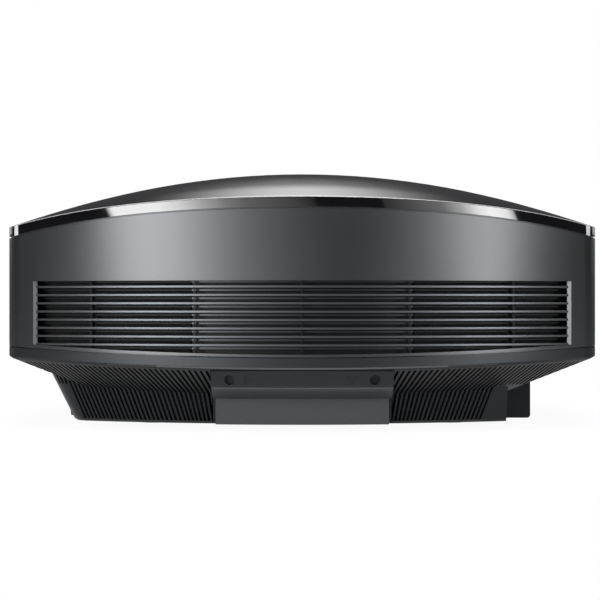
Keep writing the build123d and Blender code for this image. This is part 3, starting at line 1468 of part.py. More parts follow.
def key_places():
    """Each key as name, offset along the plate, offset up and size, a round key by its radius."""
    return [
        ("power", POWER_KEY_Y, 0, POWER_KEY_R),
        ("input", INPUT_KEY_Y, 0, SMALL_KEY),
        ("menu", MENU_KEY_Y, 0, SMALL_KEY),
        ("enter", ENTER_KEY_Y, 0, ENTER_KEY_R),
        ("up", ENTER_KEY_Y, ARROW_STEP, (ARROW_KEY, ARROW_KEY)),
        ("down", ENTER_KEY_Y, -ARROW_STEP, (ARROW_KEY, ARROW_KEY)),
        ("left", ENTER_KEY_Y + ARROW_STEP, 0, (ARROW_KEY, ARROW_KEY)),
        ("right", ENTER_KEY_Y - ARROW_STEP, 0, (ARROW_KEY, ARROW_KEY)),
    ]


def key_block(place, grow, x0, x1):
    """The block of one key, grown all round, between two depths."""
    y = CONTROL_Y + place[1]
    z = CONTROL_Z + place[2]
    size = place[3]
    if isinstance(size, float):
        return rod((1, 0, 0), size + grow, (x0, y, z), x1 - x0)
    half_y = size[0] / 2 + grow
    half_z = size[1] / 2 + grow
    return box(x0, x1, y - half_y, y + half_y, z - half_z, z + half_z)


def make_control_plate():
    """The plate in the side wall with a hole for each key and a rim behind the wall."""
    back_x = -CONTROL_RIM_X + CONTROL_RIM_T
    body = control_block(-SLIDE_FIT) & box(control_face_x(), back_x, -FAR, FAR, 0, FAR)
    body += control_block(CONTROL_RIM) & box(-CONTROL_RIM_X, back_x, -FAR, FAR, 0, FAR)
    for place in key_places():
        body -= key_block(place, KEY_FIT, -HALF_W, back_x)
    return body


def make_key(place):
    """One key with the flange that keeps it behind the plate."""
    back_x = -CONTROL_RIM_X + CONTROL_RIM_T + KEY_TRAVEL_ROOM
    cap = key_block(place, 0, control_face_x() - KEY_PROUD, back_x + KEY_FLANGE_T)
    return cap + key_block(place, KEY_FLANGE, back_x, back_x + KEY_FLANGE_T)


# The finished parts

lower_solid = lower_form(0) - above_parting(0)
lower_inside = lower_form(WALL)
upper_wall = make_upper_wall()

save("lower_case", make_lower_case(lower_solid - lower_inside, rib_slots()))
save("lamp_cover", make_lamp_cover(lower_solid, lower_inside))
save("lamp_cover_screws", make_cover_screws())
save("top_cover", make_top_cover())
save("rim_band", make_rim_band())
save("rear_panel", make_rear_panel(upper_wall))
save("front_panel", make_front_panel(upper_wall))
save("rear_grille", make_rear_grille())
save("inner_louvre", make_inner_louvre())
save("intake_filters", make_intake_filters())
save("front_vents", Part() + [make_front_vent(1), make_front_vent(-1)])
save("sensor_window", make_sensor_window())
save("lens_bezel", make_lens_bezel())

save("lens_barrel", make_lens_barrel())
save("front_element", make_front_element())
save("rear_element", make_rear_element())
save("zoom_ring", make_zoom_ring())
save("focus_ring", make_focus_ring())
save("shift_bulkhead", make_bulkhead())
save("upright_rods", make_riser_rods())
save("rise_carriage", make_riser())
save("level_rods", make_cross_rods())
save("cross_carriage", make_cross())
save("rise_dial", make_dial(-DIAL_X, (1, 0, 0)))
save("cross_dial", make_dial(DIAL_X, (0, 1, 0)))
brackets = [make_dial_bracket(-DIAL_X, (1, 0, 0)), make_dial_bracket(DIAL_X, (0, 1, 0))]
save("dial_brackets", Part() + brackets)

save("fan_left_frame", make_fan_frame(1))
save("fan_right_frame", make_fan_frame(-1))
save("fan_left_rotor", make_fan_rotor(1))
save("fan_right_rotor", make_fan_rotor(-1))
save("optical_engine", make_optical_engine())
save("prism_block", make_prism_block())
save("imager_modules", make_imager_modules())
save("lamp_housing", make_lamp_housing())
save("lamp_reflector", make_lamp_reflector())
save("lamp_ballast", make_lamp_ballast())
save("power_supply", make_power_supply())
save("main_board", make_main_board())
save("base_plate", make_base_plate())
save("plate_screws", make_plate_screws())

save("connector_panel", make_connector_panel())
save("ac_inlet", make_ac_inlet())
save("hdmi_sockets", make_hdmi_sockets())
save("lan_socket", make_lan_socket())
save("component_jacks", make_component_jacks())
save("control_plate", make_control_plate())
for key in key_places():
    save("key_" + key[0], make_key(key))

for name, place in zip(("left", "right"), foot_places()):
    save("front_foot_" + name + "_pad", make_foot_pad(*place))
    save("front_foot_" + name + "_screw", make_foot_screw(*place))
save("threaded_inserts", Part() + [make_foot_bushes(), make_mount_inserts()])
save("rear_feet", make_rear_feet())
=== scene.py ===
"""A home projector seen from behind, dressed for a studio picture.

The projector's solid parts come from the frame. This script gives each of them a finish and adds six small
pieces: two moulded marks on the lamp cover, two foam seals beside the filters and two dust screens behind the
ribs. Then it sets the floor, the lights and the camera.
"""

import json
import logging
import math
from dataclasses import dataclass
from enum import Enum
from typing import Callable, Sequence

import bpy
import numpy as np
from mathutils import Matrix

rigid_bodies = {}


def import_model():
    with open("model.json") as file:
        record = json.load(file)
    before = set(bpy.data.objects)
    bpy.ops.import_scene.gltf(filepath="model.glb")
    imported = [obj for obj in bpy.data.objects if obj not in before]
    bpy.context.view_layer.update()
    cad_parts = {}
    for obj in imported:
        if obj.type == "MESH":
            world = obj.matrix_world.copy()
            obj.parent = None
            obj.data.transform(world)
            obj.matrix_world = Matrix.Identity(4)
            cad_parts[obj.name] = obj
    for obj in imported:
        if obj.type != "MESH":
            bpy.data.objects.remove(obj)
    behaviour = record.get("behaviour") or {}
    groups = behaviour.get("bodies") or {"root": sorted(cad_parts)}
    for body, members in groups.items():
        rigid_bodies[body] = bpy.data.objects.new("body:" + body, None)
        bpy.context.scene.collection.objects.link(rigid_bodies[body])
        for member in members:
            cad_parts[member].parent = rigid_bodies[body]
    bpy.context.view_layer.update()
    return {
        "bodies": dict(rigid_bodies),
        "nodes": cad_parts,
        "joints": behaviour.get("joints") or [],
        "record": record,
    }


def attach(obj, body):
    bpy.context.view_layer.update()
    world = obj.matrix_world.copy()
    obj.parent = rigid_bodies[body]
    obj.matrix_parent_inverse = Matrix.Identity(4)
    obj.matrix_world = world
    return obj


LOG = logging.getLogger("projector")
MM = 0.001
WHITE = "#ffffff"

# Surface patterns
CLOUD_SCALE = 18.0
CLOUD_DETAIL = 3.0
BRUSH_STRETCH = 0.06
BRUSH_DETAIL = 2.0
CAST_DETAIL = 6.0
GRAIN_DETAIL = 3.0
MESH_WALL = 0.3
TRACK_EDGES = (0.3, 0.5)

# A Mix node has several sockets of one name, so those for colours go by number
MIX_COLOUR_SOCKETS = {"Factor": 0, "A": 6, "B": 7}
MIX_COLOUR_RESULT = 2

# The back's arc, and how far its centre is from the origin
ARC_RADIUS = 320.0 * MM
ARC_OFFSET = 88.05 * MM

# Floor, backdrop and camera
FLOOR_GREY = "#d8d8d8"
FLOOR_ROUGHNESS = 0.8
FLOOR_HALF = 0.7
FLOOR_GLOW = 1.17
FLOOR_SHARE = 0.8
FLOOR_RAYS = ("Is Camera Ray", "Is Transmission Ray", "Is Glossy Ray")
WORLD_RAYS = ("Is Camera Ray", "Is Transmission Ray")
ROOM_GREY = "#464648"
CLIP_START = 0.05

# Soft edges
WELD_GAP = 0.005 * MM
EDGE_BREAK = 0.25 * MM
BAND_BREAK = 0.1 * MM
EDGE_SEGMENTS = 2
EDGE_ANGLE = 35.0

# Dust screens behind the ribs
SHOULDER_SLOPE = math.radians(31.0)
SHOULDER_TILT = math.radians(5.5)
SIDE_SLOPE = math.radians(22.0)
SCREEN_STEPS = 48
SCREEN_ROWS = 12
SCREEN_THICKNESS = 0.5 * MM

# Marks on the lamp cover
MARK_STEPS = 96
MARK_SIDES = 8
MARK_POWER = 14
MARK_LINE = 0.28 * MM


class Slot(str, Enum):
    """The record's material slots."""

    DARK_SHELL = "dark_shell"
    GUNMETAL = "gunmetal_shell"
    GLOSS_BLACK = "gloss_black"
    TOP_BLACK = "satin_black_top"
    SLATS = "grey_slats"
    FILTER = "filter_foam"
    WINDOW = "smoked_window"
    BLACK_PLASTIC = "black_plastic"
    ANODISED = "black_anodised"
    GLASS = "lens_glass"
    STEEL = "bright_steel"
    DARK_STEEL = "dark_steel"
    ZINC = "zinc_sheet"
    ALLOY = "cast_alloy"
    IMAGER = "imager_black"
    LAMP_BOX = "lamp_box"
    REFLECTOR = "reflector_glass"
    BOARD = "circuit_green"
    KEY = "key_grey"
    RUBBER = "foot_rubber"
    BRASS = "insert_brass"


class Pattern(Enum):
    """How a finish varies over its surface."""

    GRAIN = "moulded grain"
    FLAKE = "metallic flake"
    BRUSHED = "fine lines along one axis"
    CAST = "coarse cast skin"
    MESH = "open mesh"
    TRACKS = "printed tracks"
    SMOOTH = "polished, with faint dust"


@dataclass(frozen=True)
class Facing:
    """A face on one arc of the back or front, coloured unlike the rest of its part: mostly a painted
    highlight or painted light, and on the skirt a metallic face.

    Attributes:
        colour: Its colour, as sRGB hex.
        metallic: Its metallic share.
        roughness: Its roughness.
        radius: Radius of its arc, in metres.
        reach: How far from that radius it goes, in metres.
        half: Half of its width, in metres.
        both_ends: True if the front has it too.
    """

    colour: str
    metallic: float
    roughness: float
    radius: float
    reach: float
    half: float
    both_ends: bool = False


@dataclass(frozen=True)
class Finish:
    """One surface finish.

    Attributes:
        slot: The material slot that it dresses.
        colour: Main colour, as sRGB hex.
        second: Colour that the pattern mixes in, as sRGB hex.
        roughness: Middle roughness.
        spread: How far the roughness varies to each side.
        pattern: How the surface varies.
        feature: Size of the pattern's features, in metres.
        depth: Height of the bump, in metres.
        metallic: Metallic share.
        coat: Clear coat weight.
        coat_roughness: Roughness of the clear coat.
        transmission: Share of light that passes through.
        shine: Strength of its mirror-like share.
        facings: Faces that differ from the rest, most of them painted highlights or painted light.
    """

    slot: Slot
    colour: str
    second: str
    roughness: float
    spread: float
    pattern: Pattern
    feature: float
    depth: float = 0.0
    metallic: float = 0.0
    coat: float = 0.0
    coat_roughness: float = 0.03
    transmission: float = 0.0
    shine: float = 0.5
    facings: tuple[Facing, ...] = ()


# Faces that differ from the rest of their part: painted highlights, painted light and the skirt's metallic
# face
# Painted highlight: lighter front edges of the grille's outer slats
SLAT_EDGE_HIGHLIGHT = Facing("#4f5153", 0.8, 0.34, 318.4 * MM, 1.4 * MM, 200.0 * MM, both_ends=True)
# Painted highlight: lighter front edges of the inner louvre's slats
LOUVRE_EDGE_HIGHLIGHT = Facing("#414345", 0.8, 0.34, 310.4 * MM, 0.6 * MM, 72.0 * MM)
# Painted light: the lamp cover's sloped brow round the screws, made a little lighter
COVER_BROW_PAINTED_LIGHT = Facing("#2c2d2f", 0.0, 0.4, 313.5 * MM, 5.0 * MM, 59.6 * MM)
# Painted light: the lamp cover's plate, made lighter
COVER_PLATE_PAINTED_LIGHT = Facing("#4a4c4e", 0.0, 0.8, 284.0 * MM, 0.4 * MM, 57.6 * MM)
# Painted light: the downward-facing band under the cover's ridge, made lighter in place of light thrown up
# from the floor
COVER_UNDER_PAINTED_LIGHT = Facing("#494b4d", 0.0, 0.5, 296.0 * MM, 11.4 * MM, 59.6 * MM)
# Painted highlight: a thin light line along the cover's ridge
COVER_RIDGE_HIGHLIGHT = Facing("#646668", 0.0, 0.5, 308.0 * MM, 0.5 * MM, 59.6 * MM)
SKIRT_FACE = Facing("#343638", 0.8, 0.4, 319.97 * MM, 0.115 * MM, 200.0 * MM, both_ends=True)
# Painted highlight: a thin light line along the gloss band's rounded top edge
BAND_EDGE_HIGHLIGHT = Facing("#d4d6d8", 0.0, 0.5, 319.49 * MM, 0.37 * MM, 200.0 * MM, both_ends=True)
# Painted highlight along the skirt's lower bevel: a dimmer outer step, then a brighter middle
SKIRT_EDGE_HIGHLIGHT_FAR = Facing("#3e4042", 0.0, 0.5, 319.45 * MM, 0.4 * MM, 128.0 * MM)
SKIRT_EDGE_HIGHLIGHT = Facing("#5c5e60", 0.0, 0.5, 319.45 * MM, 0.4 * MM, 95.0 * MM)


FINISHES = (
    Finish(
        Slot.DARK_SHELL,
        "#242527",
        "#2c2d2f",
        0.4,
        0.04,
        Pattern.GRAIN,
        0.6 * MM,
        0.012 * MM,
        shine=0.1,
        facings=(COVER_BROW_PAINTED_LIGHT, COVER_PLATE_PAINTED_LIGHT, COVER_UNDER_PAINTED_LIGHT, COVER_RIDGE_HIGHLIGHT, SKIRT_FACE, SKIRT_EDGE_HIGHLIGHT_FAR, SKIRT_EDGE_HIGHLIGHT),
    ),
    Finish(
        Slot.GUNMETAL,
        "#454647",
        "#4e4f50",
        0.32,
        0.02,
        Pattern.FLAKE,
        0.12 * MM,
        0.002 * MM,
        metallic=0.8,
    ),
    Finish(
        Slot.GLOSS_BLACK,
        "#050506",
        "#08080a",
        0.06,
        0.01,
        Pattern.SMOOTH,
        6 * MM,
        coat=0.9,
        facings=(BAND_EDGE_HIGHLIGHT,),
    ),
    Finish(Slot.TOP_BLACK, "#0b0b0c", "#0d0d0e", 0.1, 0.005, Pattern.SMOOTH, 8 * MM),
    # Grille slats: near-black body, partly their own dark grey and partly painted shade deep in the grille,
    # with painted highlights on the front edges
    Finish(
        Slot.SLATS,
        "#0c0c0d",
        "#111112",
        0.5,
        0.04,
        Pattern.GRAIN,
        0.5 * MM,
        0.006 * MM,
        shine=0.25,
        facings=(SLAT_EDGE_HIGHLIGHT, LOUVRE_EDGE_HIGHLIGHT),
    ),
    Finish(Slot.FILTER, "#101112", "#1c1d1f", 0.9, 0.05, Pattern.MESH, 1.6 * MM, 0.4 * MM),
    Finish(Slot.WINDOW, "#16080a", "#1c0a0c", 0.08, 0.02, Pattern.SMOOTH, 4 * MM, coat=0.6),
    Finish(Slot.BLACK_PLASTIC, "#141415", "#1b1b1d", 0.5, 0.06, Pattern.GRAIN, 0.5 * MM, 0.012 * MM),
    Finish(
        Slot.ANODISED,
        "#1d1d1f",
        "#242427",
        0.38,
        0.05,
        Pattern.BRUSHED,
        0.25 * MM,
        0.002 * MM,
        metallic=0.8,
    ),
    Finish(Slot.GLASS, "#dfe8f2", "#d2dcf0", 0.03, 0.01, Pattern.SMOOTH, 5 * MM, transmission=0.9),
    Finish(Slot.STEEL, "#b9bbbd", "#a6a8ab", 0.3, 0.06, Pattern.BRUSHED, 0.2 * MM, 0.002 * MM, metallic=1.0),
    Finish(
        Slot.DARK_STEEL,
        "#3a3b3d",
        "#2c2d2f",
        0.36,
        0.06,
        Pattern.BRUSHED,
        0.2 * MM,
        0.002 * MM,
        metallic=0.9,
    ),
    Finish(Slot.ZINC, "#5d6063", "#4f5255", 0.5, 0.08, Pattern.BRUSHED, 0.4 * MM, 0.003 * MM, metallic=1.0),
    Finish(Slot.ALLOY, "#8d8f92", "#7b7d80", 0.52, 0.07, Pattern.CAST, 1.2 * MM, 0.05 * MM, metallic=0.9),
    Finish(Slot.IMAGER, "#18191c", "#202126", 0.5, 0.05, Pattern.GRAIN, 0.5 * MM, 0.01 * MM),
    Finish(Slot.LAMP_BOX, "#2b2a29", "#353433", 0.6, 0.06, Pattern.CAST, 0.9 * MM, 0.03 * MM),
    Finish(Slot.REFLECTOR, "#d5dae0", "#c3ccd8", 0.06, 0.02, Pattern.SMOOTH, 5 * MM, metallic=1.0),
    Finish(Slot.BOARD, "#14552f", "#0d3d21", 0.42, 0.05, Pattern.TRACKS, 2.4 * MM, 0.03 * MM),
    Finish(Slot.KEY, "#4b4c4f", "#545558", 0.42, 0.04, Pattern.GRAIN, 0.4 * MM, 0.008 * MM),
    Finish(Slot.RUBBER, "#161617", "#1e1e1f", 0.75, 0.06, Pattern.GRAIN, 0.8 * MM, 0.03 * MM),
    Finish(Slot.BRASS, "#b08d4a", "#9c7b3c", 0.32, 0.06, Pattern.BRUSHED, 0.2 * MM, 0.002 * MM, metallic=1.0),
)


def linear(hex_colour: str) -> tuple[float, float, float, float]:
    """Turn an sRGB hex colour into linear values.

    Args:
        hex_colour: Colour as "#rrggbb".

    Returns:
        Linear red, green, blue and an alpha of 1.
    """
    parts = [int(hex_colour[at : at + 2], 16) / 255 for at in (1, 3, 5)]
    low = [part / 12.92 if part <= 0.04045 else ((part + 0.055) / 1.055) ** 2.4 for part in parts]
    return (low[0], low[1], low[2], 1.0)


def add_node(tree: bpy.types.NodeTree, kind: str, inputs: dict, **settings) -> bpy.types.Node:
    """Add one shader node, with its settings, values and links.

    Args:
        tree: The node tree.
        kind: Node type without its "ShaderNode" prefix.
        inputs: Socket values, or output sockets to link from, by socket name or index.
        **settings: Properties of the node itself.

    Returns:
        The new node.
    """
    node = tree.nodes.new("ShaderNode" + kind)
    for name, value in settings.items():
        setattr(node, name, value)
    for key, value in inputs.items():
        if isinstance(value, bpy.types.NodeSocket):
            tree.links.new(value, node.inputs[key])
        else:
            node.inputs[key].default_value = value
    return node


class FinishMaker:
    """Builds the procedural material of each finish once."""

    def __init__(self, finishes: Sequence[Finish]) -> None:
        """Keep the finishes by slot.

        Args:
            finishes: All finishes of the object.
        """
        self.finishes = {finish.slot: finish for finish in finishes}
        self.made: dict[Slot, bpy.types.Material] = {}

    def material(self, slot: Slot) -> bpy.types.Material:
        """Return the material of a slot, made on first use.

        Args:
            slot: The slot.

        Returns:
            The material.
        """
        if slot not in self.made:
            self.made[slot] = self._build(self.finishes[slot])
        return self.made[slot]

    def _build(self, finish: Finish) -> bpy.types.Material:
        """Build one material.

        Args:
            finish: What the surface is like.

        Returns:
            The new material.
        """
        material = bpy.data.materials.new(finish.slot.value)
        material.use_nodes = True
        tree = material.node_tree
        shader = tree.nodes["Principled BSDF"]
        place = add_node(tree, "TexCoord", {}).outputs["Object"]
        height = self._height(tree, finish, place)
        clouds = {"Vector": place, "Scale": CLOUD_SCALE, "Detail": CLOUD_DETAIL}
        cloud = add_node(tree, "TexNoise", clouds).outputs["Fac"]
        share = add_node(tree, "Math", {0: height, 1: cloud}, operation="MULTIPLY").outputs["Value"]
        shades = {"Factor": share, "A": linear(finish.colour), "B": linear(finish.second)}
        colour = self._mix(tree, shades)
        low = finish.roughness - finish.spread
        high = finish.roughness + finish.spread
        rough = add_node(tree, "MapRange", {"Value": cloud, "To Min": low, "To Max": high}).outputs["Result"]
        shader.inputs["Metallic"].default_value = finish.metallic
        metal = finish.metallic
        # Each facing lays its colour over the pattern: mostly painted highlights and painted light
        for facing in finish.facings:
            mask = self._facing_mask(tree, place, facing)
            colour = self._mix(tree, {"Factor": mask, "A": colour, "B": linear(facing.colour)})
            rough = self._blend(tree, mask, rough, facing.roughness)
            metal = self._blend(tree, mask, metal, facing.metallic)
        if finish.facings:
            tree.links.new(metal, shader.inputs["Metallic"])
        tree.links.new(colour, shader.inputs["Base Color"])
        tree.links.new(rough, shader.inputs["Roughness"])
        if finish.depth:
            bump = add_node(tree, "Bump", {"Strength": 1.0, "Distance": finish.depth, "Height": height})
            tree.links.new(bump.outputs["Normal"], shader.inputs["Normal"])
        shader.inputs["Specular IOR Level"].default_value = finish.shine
        shader.inputs["Coat Weight"].default_value = finish.coat
        shader.inputs["Coat Roughness"].default_value = finish.coat_roughness
        shader.inputs["Transmission Weight"].default_value = finish.transmission
        return material

    def _mix(self, tree: bpy.types.NodeTree, shades: dict) -> bpy.types.NodeSocket:
        """Mix two colours.

        Args:
            tree: The material's node tree.
            shades: Factor, A and B, as values or sockets.

        Returns:
            The mixed colour's socket.
        """
        sockets = {MIX_COLOUR_SOCKETS[name]: value for name, value in shades.items()}
        return add_node(tree, "Mix", sockets, data_type="RGBA").outputs[MIX_COLOUR_RESULT]

    def _blend(
        self,
        tree: bpy.types.NodeTree,
        mask: bpy.types.NodeSocket,
        plain: bpy.types.NodeSocket | float,
        special: float,
    ) -> bpy.types.NodeSocket:
        """Blend two plain values.

        Args:
            tree: The material's node tree.
            mask: 0 where the first holds and 1 where the second does.
            plain: The first value.
            special: The second value.

        Returns:
            The blended value's socket.
        """
        return add_node(tree, "Mix", {"Factor": mask, "A": plain, "B": special}).outputs["Result"]

    def _facing_mask(
        self, tree: bpy.types.NodeTree, place: bpy.types.NodeSocket, facing: Facing
    ) -> bpy.types.NodeSocket:
        """Build a mask that is 1 on a face and 0 elsewhere.

        The back follows arcs about one centre, and the front follows their mirror image. So the distance from
        that centre says how far out a point is.

        Args:
            tree: The material's node tree.
            place: Object coordinates.
            facing: Where the face is.

        Returns:
            An output socket, 0 or 1.
        """
        part = add_node(tree, "SeparateXYZ", {"Vector": place}).outputs
        depth = part["Y"]
        if facing.both_ends:
            depth = add_node(tree, "Math", {0: depth}, operation="ABSOLUTE").outputs["Value"]
        reach = add_node(tree, "Math", {0: depth, 1: ARC_OFFSET}, operation="ADD").outputs["Value"]
        flat = add_node(tree, "CombineXYZ", {"X": part["X"], "Y": reach}).outputs["Vector"]
        radius = add_node(tree, "VectorMath", {0: flat}, operation="LENGTH").outputs["Value"]
        near = {0: radius, 1: facing.radius, 2: facing.reach}
        on_arc = add_node(tree, "Math", near, operation="COMPARE").outputs["Value"]
        in_width = {0: part["X"], 1: 0.0, 2: facing.half}
        inside = add_node(tree, "Math", in_width, operation="COMPARE").outputs["Value"]
        return add_node(tree, "Math", {0: on_arc, 1: inside}, operation="MULTIPLY").outputs["Value"]

    def _height(
        self, tree: bpy.types.NodeTree, finish: Finish, place: bpy.types.NodeSocket
    ) -> bpy.types.NodeSocket:
        """Build the pattern that drives colour and bump.

        Args:
            tree: The material's node tree.
            finish: What the surface is like.
            place: Object coordinates.

        Returns:
            An output socket from 0 to 1.
        """
        base = {"Vector": place, "Scale": 1 / finish.feature}
        if finish.pattern is Pattern.BRUSHED:
            lines = add_node(tree, "Mapping", {"Vector": place, "Scale": (1.0, BRUSH_STRETCH, 1.0)})
            base["Vector"] = lines.outputs["Vector"]
            return add_node(tree, "TexNoise", {**base, "Detail": BRUSH_DETAIL}).outputs["Fac"]
        if finish.pattern is Pattern.FLAKE:
            cells = add_node(tree, "TexVoronoi", base)
            return add_node(tree, "RGBToBW", {"Color": cells.outputs["Color"]}).outputs["Val"]
        if finish.pattern is Pattern.MESH:
            cells = add_node(tree, "TexVoronoi", base, feature="DISTANCE_TO_EDGE")
            span = {"Value": cells.outputs["Distance"], "From Max": MESH_WALL}
            return add_node(tree, "MapRange", span).outputs["Result"]
        if finish.pattern is Pattern.TRACKS:
            cells = add_node(tree, "TexVoronoi", base, distance="MANHATTAN")
            low, high = TRACK_EDGES
            span = {"Value": cells.outputs["Distance"], "From Min": low, "From Max": high}
            return add_node(tree, "MapRange", span).outputs["Result"]
        detail = CAST_DETAIL if finish.pattern is Pattern.CAST else GRAIN_DETAIL
        return add_node(tree, "TexNoise", {**base, "Detail": detail}).outputs["Fac"]


@dataclass(frozen=True)
class CameraPlan:
    """Where the picture is taken from.

    Attributes:
        place: Camera position, in metres.
        focal: Focal length, in millimetres.
        sensor: Sensor width, in millimetres.
        lift: Share of the frame that the picture is moved down by.
    """

    place: tuple[float, float, float] = (0.0015, 1.73, 0.085)
    focal: float = 139.4
    sensor: float = 36.0
    lift: float = 0.005


@dataclass(frozen=True)
class Softbox:
    """One rectangular studio light, whose face may fade across or upwards.

    Attributes:
        name: Its name.
        azimuth: Direction from the object, in degrees from +Y towards +X.
        elevation: Height of that direction, in degrees.
        distance: Distance from the aim point, in metres.
        width: Width, in metres.
        height: Height, in metres.
        glow: Greatest brightness of its face, where 1 is white.
        fade: Share of that brightness at places across the face, from its -X side or its lower edge.
        rising: Whether the fade runs upwards instead of across.
        soft_sides: Share of the width over which each side softens.
        aim: The point that it faces.
    """

    name: str
    azimuth: float
    elevation: float
    distance: float
    width: float
    height: float
    glow: float
    fade: tuple[tuple[float, float], ...] = ((0.0, 1.0), (1.0, 1.0))
    rising: bool = False
    soft_sides: float = 0.0
    aim: tuple[float, float, float] = (0.0, 0.1, 0.1)


LEFT_FADE = (
    (0.0, 0.012),
    (0.12, 0.054),
    (0.33, 0.116),
    (0.43, 0.21),
    (0.534, 0.43),
    (0.635, 0.75),
    (0.74, 1.0),
    (0.97, 1.0),
    (1.0, 0.3),
)
RIGHT_FADE = (
    (0.0, 0.35),
    (0.06, 0.85),
    (0.2, 1.0),
    (0.3, 0.83),
    (0.42, 0.4),
    (0.56, 0.15),
    (0.8, 0.07),
    (1.0, 0.02),
)
RIM_FADE = ((0.16, 0.0), (0.28, 0.05), (0.37, 0.18), (0.45, 0.5), (0.52, 0.8), (0.65, 1.0))
SOFTBOXES = (
    Softbox("left_box", 24.0, 6.0, 1.6, 1.66, 0.9, 11.0, LEFT_FADE),
    Softbox("right_box", -39.0, 6.0, 1.6, 1.04, 0.9, 11.5, RIGHT_FADE),
    Softbox("rim_glow", 180.0, 22.0, 1.6, 0.66, 0.8, 1.6, RIM_FADE, rising=True, soft_sides=0.5),
    Softbox("overhead", 0.0, 75.0, 2.2, 1.6, 1.6, 3.0),
    Softbox("front_left", 135.0, 15.0, 2.0, 0.9, 0.9, 0.8),
    Softbox("front_right", -135.0, 15.0, 2.0, 0.9, 0.9, 0.8),
)


class Studio:
    """The floor, the backdrop, the lights and the camera."""

    def __init__(self, camera: CameraPlan, lights: Sequence[Softbox]) -> None:
        """Keep the plan of the studio.

        Args:
            camera: Where the picture is taken from.
            lights: The studio lights.
        """
        self.camera = camera
        self.lights = lights

    def build(self) -> None:
        """Make everything round the object."""
        self._floor()
        self._world()
        for light in self.lights:
            self._softbox(light)
        self._camera()

    def _floor(self) -> None:
        """Make the floor, white to the eye, darker to what it lights, and clear from below."""
        half = FLOOR_HALF
        mesh = bpy.data.meshes.new("floor")
        corners = [(-half, -half, 0), (half, -half, 0), (half, half, 0), (-half, half, 0)]
        mesh.from_pydata(corners, [], [(0, 1, 2, 3)])
        floor = bpy.data.objects.new("floor", mesh)
        bpy.context.collection.objects.link(floor)
        material = bpy.data.materials.new("floor")
        material.use_nodes = True
        tree = material.node_tree
        shader = tree.nodes["Principled BSDF"]
        shader.inputs["Base Color"].default_value = linear(FLOOR_GREY)
        shader.inputs["Roughness"].default_value = FLOOR_ROUGHNESS
        glow = add_node(tree, "Emission", {"Color": linear(WHITE), "Strength": FLOOR_GLOW})
        part = {0: self._seen(tree, FLOOR_RAYS), 1: FLOOR_SHARE}
        eye = add_node(tree, "Math", part, operation="MULTIPLY").outputs["Value"]
        top = add_node(tree, "MixShader", {0: eye, 1: shader.outputs["BSDF"], 2: glow.outputs["Emission"]})
        under = add_node(tree, "NewGeometry", {}).outputs["Backfacing"]
        clear = add_node(tree, "BsdfTransparent", {}).outputs["BSDF"]
        mix = add_node(tree, "MixShader", {0: under, 1: top.outputs["Shader"], 2: clear})
        tree.links.new(mix.outputs["Shader"], tree.nodes["Material Output"].inputs["Surface"])
        mesh.materials.append(material)

    def _seen(self, tree: bpy.types.NodeTree, rays: Sequence[str]) -> bpy.types.NodeSocket:
        """Tell the rays that show the background itself from those that light.

        Args:
            tree: The node tree.
            rays: Names of the rays that show it.

        Returns:
            An output socket, 1 for a ray that shows the background.
        """
        path = add_node(tree, "LightPath", {}).outputs
        share = path[rays[0]]
        for ray in rays[1:]:
            share = add_node(tree, "Math", {0: share, 1: path[ray]}, operation="MAXIMUM").outputs["Value"]
        return share

    def _world(self) -> None:
        """Make the backdrop, white to the eye, and dim in reflections and to what it lights."""
        world = bpy.data.worlds.new("backdrop")
        bpy.context.scene.world = world
        world.use_nodes = True
        tree = world.node_tree
        dim = tree.nodes["Background"]
        dim.inputs["Color"].default_value = linear(ROOM_GREY)
        bright = add_node(tree, "Background", {"Color": linear(WHITE), "Strength": 1.0})
        eye = self._seen(tree, WORLD_RAYS)
        faces = {0: eye, 1: dim.outputs["Background"], 2: bright.outputs["Background"]}
        mix = add_node(tree, "MixShader", faces)
        tree.links.new(mix.outputs["Shader"], tree.nodes["World Output"].inputs["Surface"])

    def _softbox(self, plan: Softbox) -> None:
        """Make one light.

        Args:
            plan: Its size, place and power.
        """
        data = bpy.data.lights.new(plan.name, "AREA")
        data.shape = "RECTANGLE"
        data.size = plan.width
        data.size_y = plan.height
        data.energy = plan.glow * math.pi * plan.width * plan.height
        self._fade(data, plan)
        light = bpy.data.objects.new(plan.name, data)
        bpy.context.collection.objects.link(light)
        azimuth = math.radians(plan.azimuth)
        elevation = math.radians(plan.elevation)
        flat = plan.distance * math.cos(elevation)
        light.location = (
            plan.aim[0] + flat * math.sin(azimuth),
            plan.aim[1] + flat * math.cos(azimuth),
            plan.aim[2] + plan.distance * math.sin(elevation),
        )
        light.rotation_euler = (math.pi / 2 - elevation, 0, math.pi - azimuth)

    def _fade(self, data: bpy.types.AreaLight, plan: Softbox) -> None:
        """Make a light's face fade across or upwards, and soften its sides.

        Args:
            data: The light.
            plan: Its fade.
        """
        data.use_nodes = True
        tree = data.node_tree
        face = add_node(tree, "NewGeometry", {}).outputs["Parametric"]
        part = add_node(tree, "SeparateXYZ", {"Vector": face}).outputs
        share = part["Y"]
        if not plan.rising:
            share = add_node(tree, "Math", {0: 1.0, 1: part["X"]}, operation="SUBTRACT").outputs["Value"]
        ramp = add_node(tree, "ValToRGB", {"Fac": share})
        steps = ramp.color_ramp.elements
        steps.remove(steps[1])
        (first, start), *rest = plan.fade
        steps[0].position = first
        steps[0].color = (start, start, start, 1.0)
        for place, bright in rest:
            steps.new(place).color = (bright, bright, bright, 1.0)
        emission = tree.nodes["Emission"]
        tree.links.new(ramp.outputs["Color"], emission.inputs["Color"])
        if plan.soft_sides:
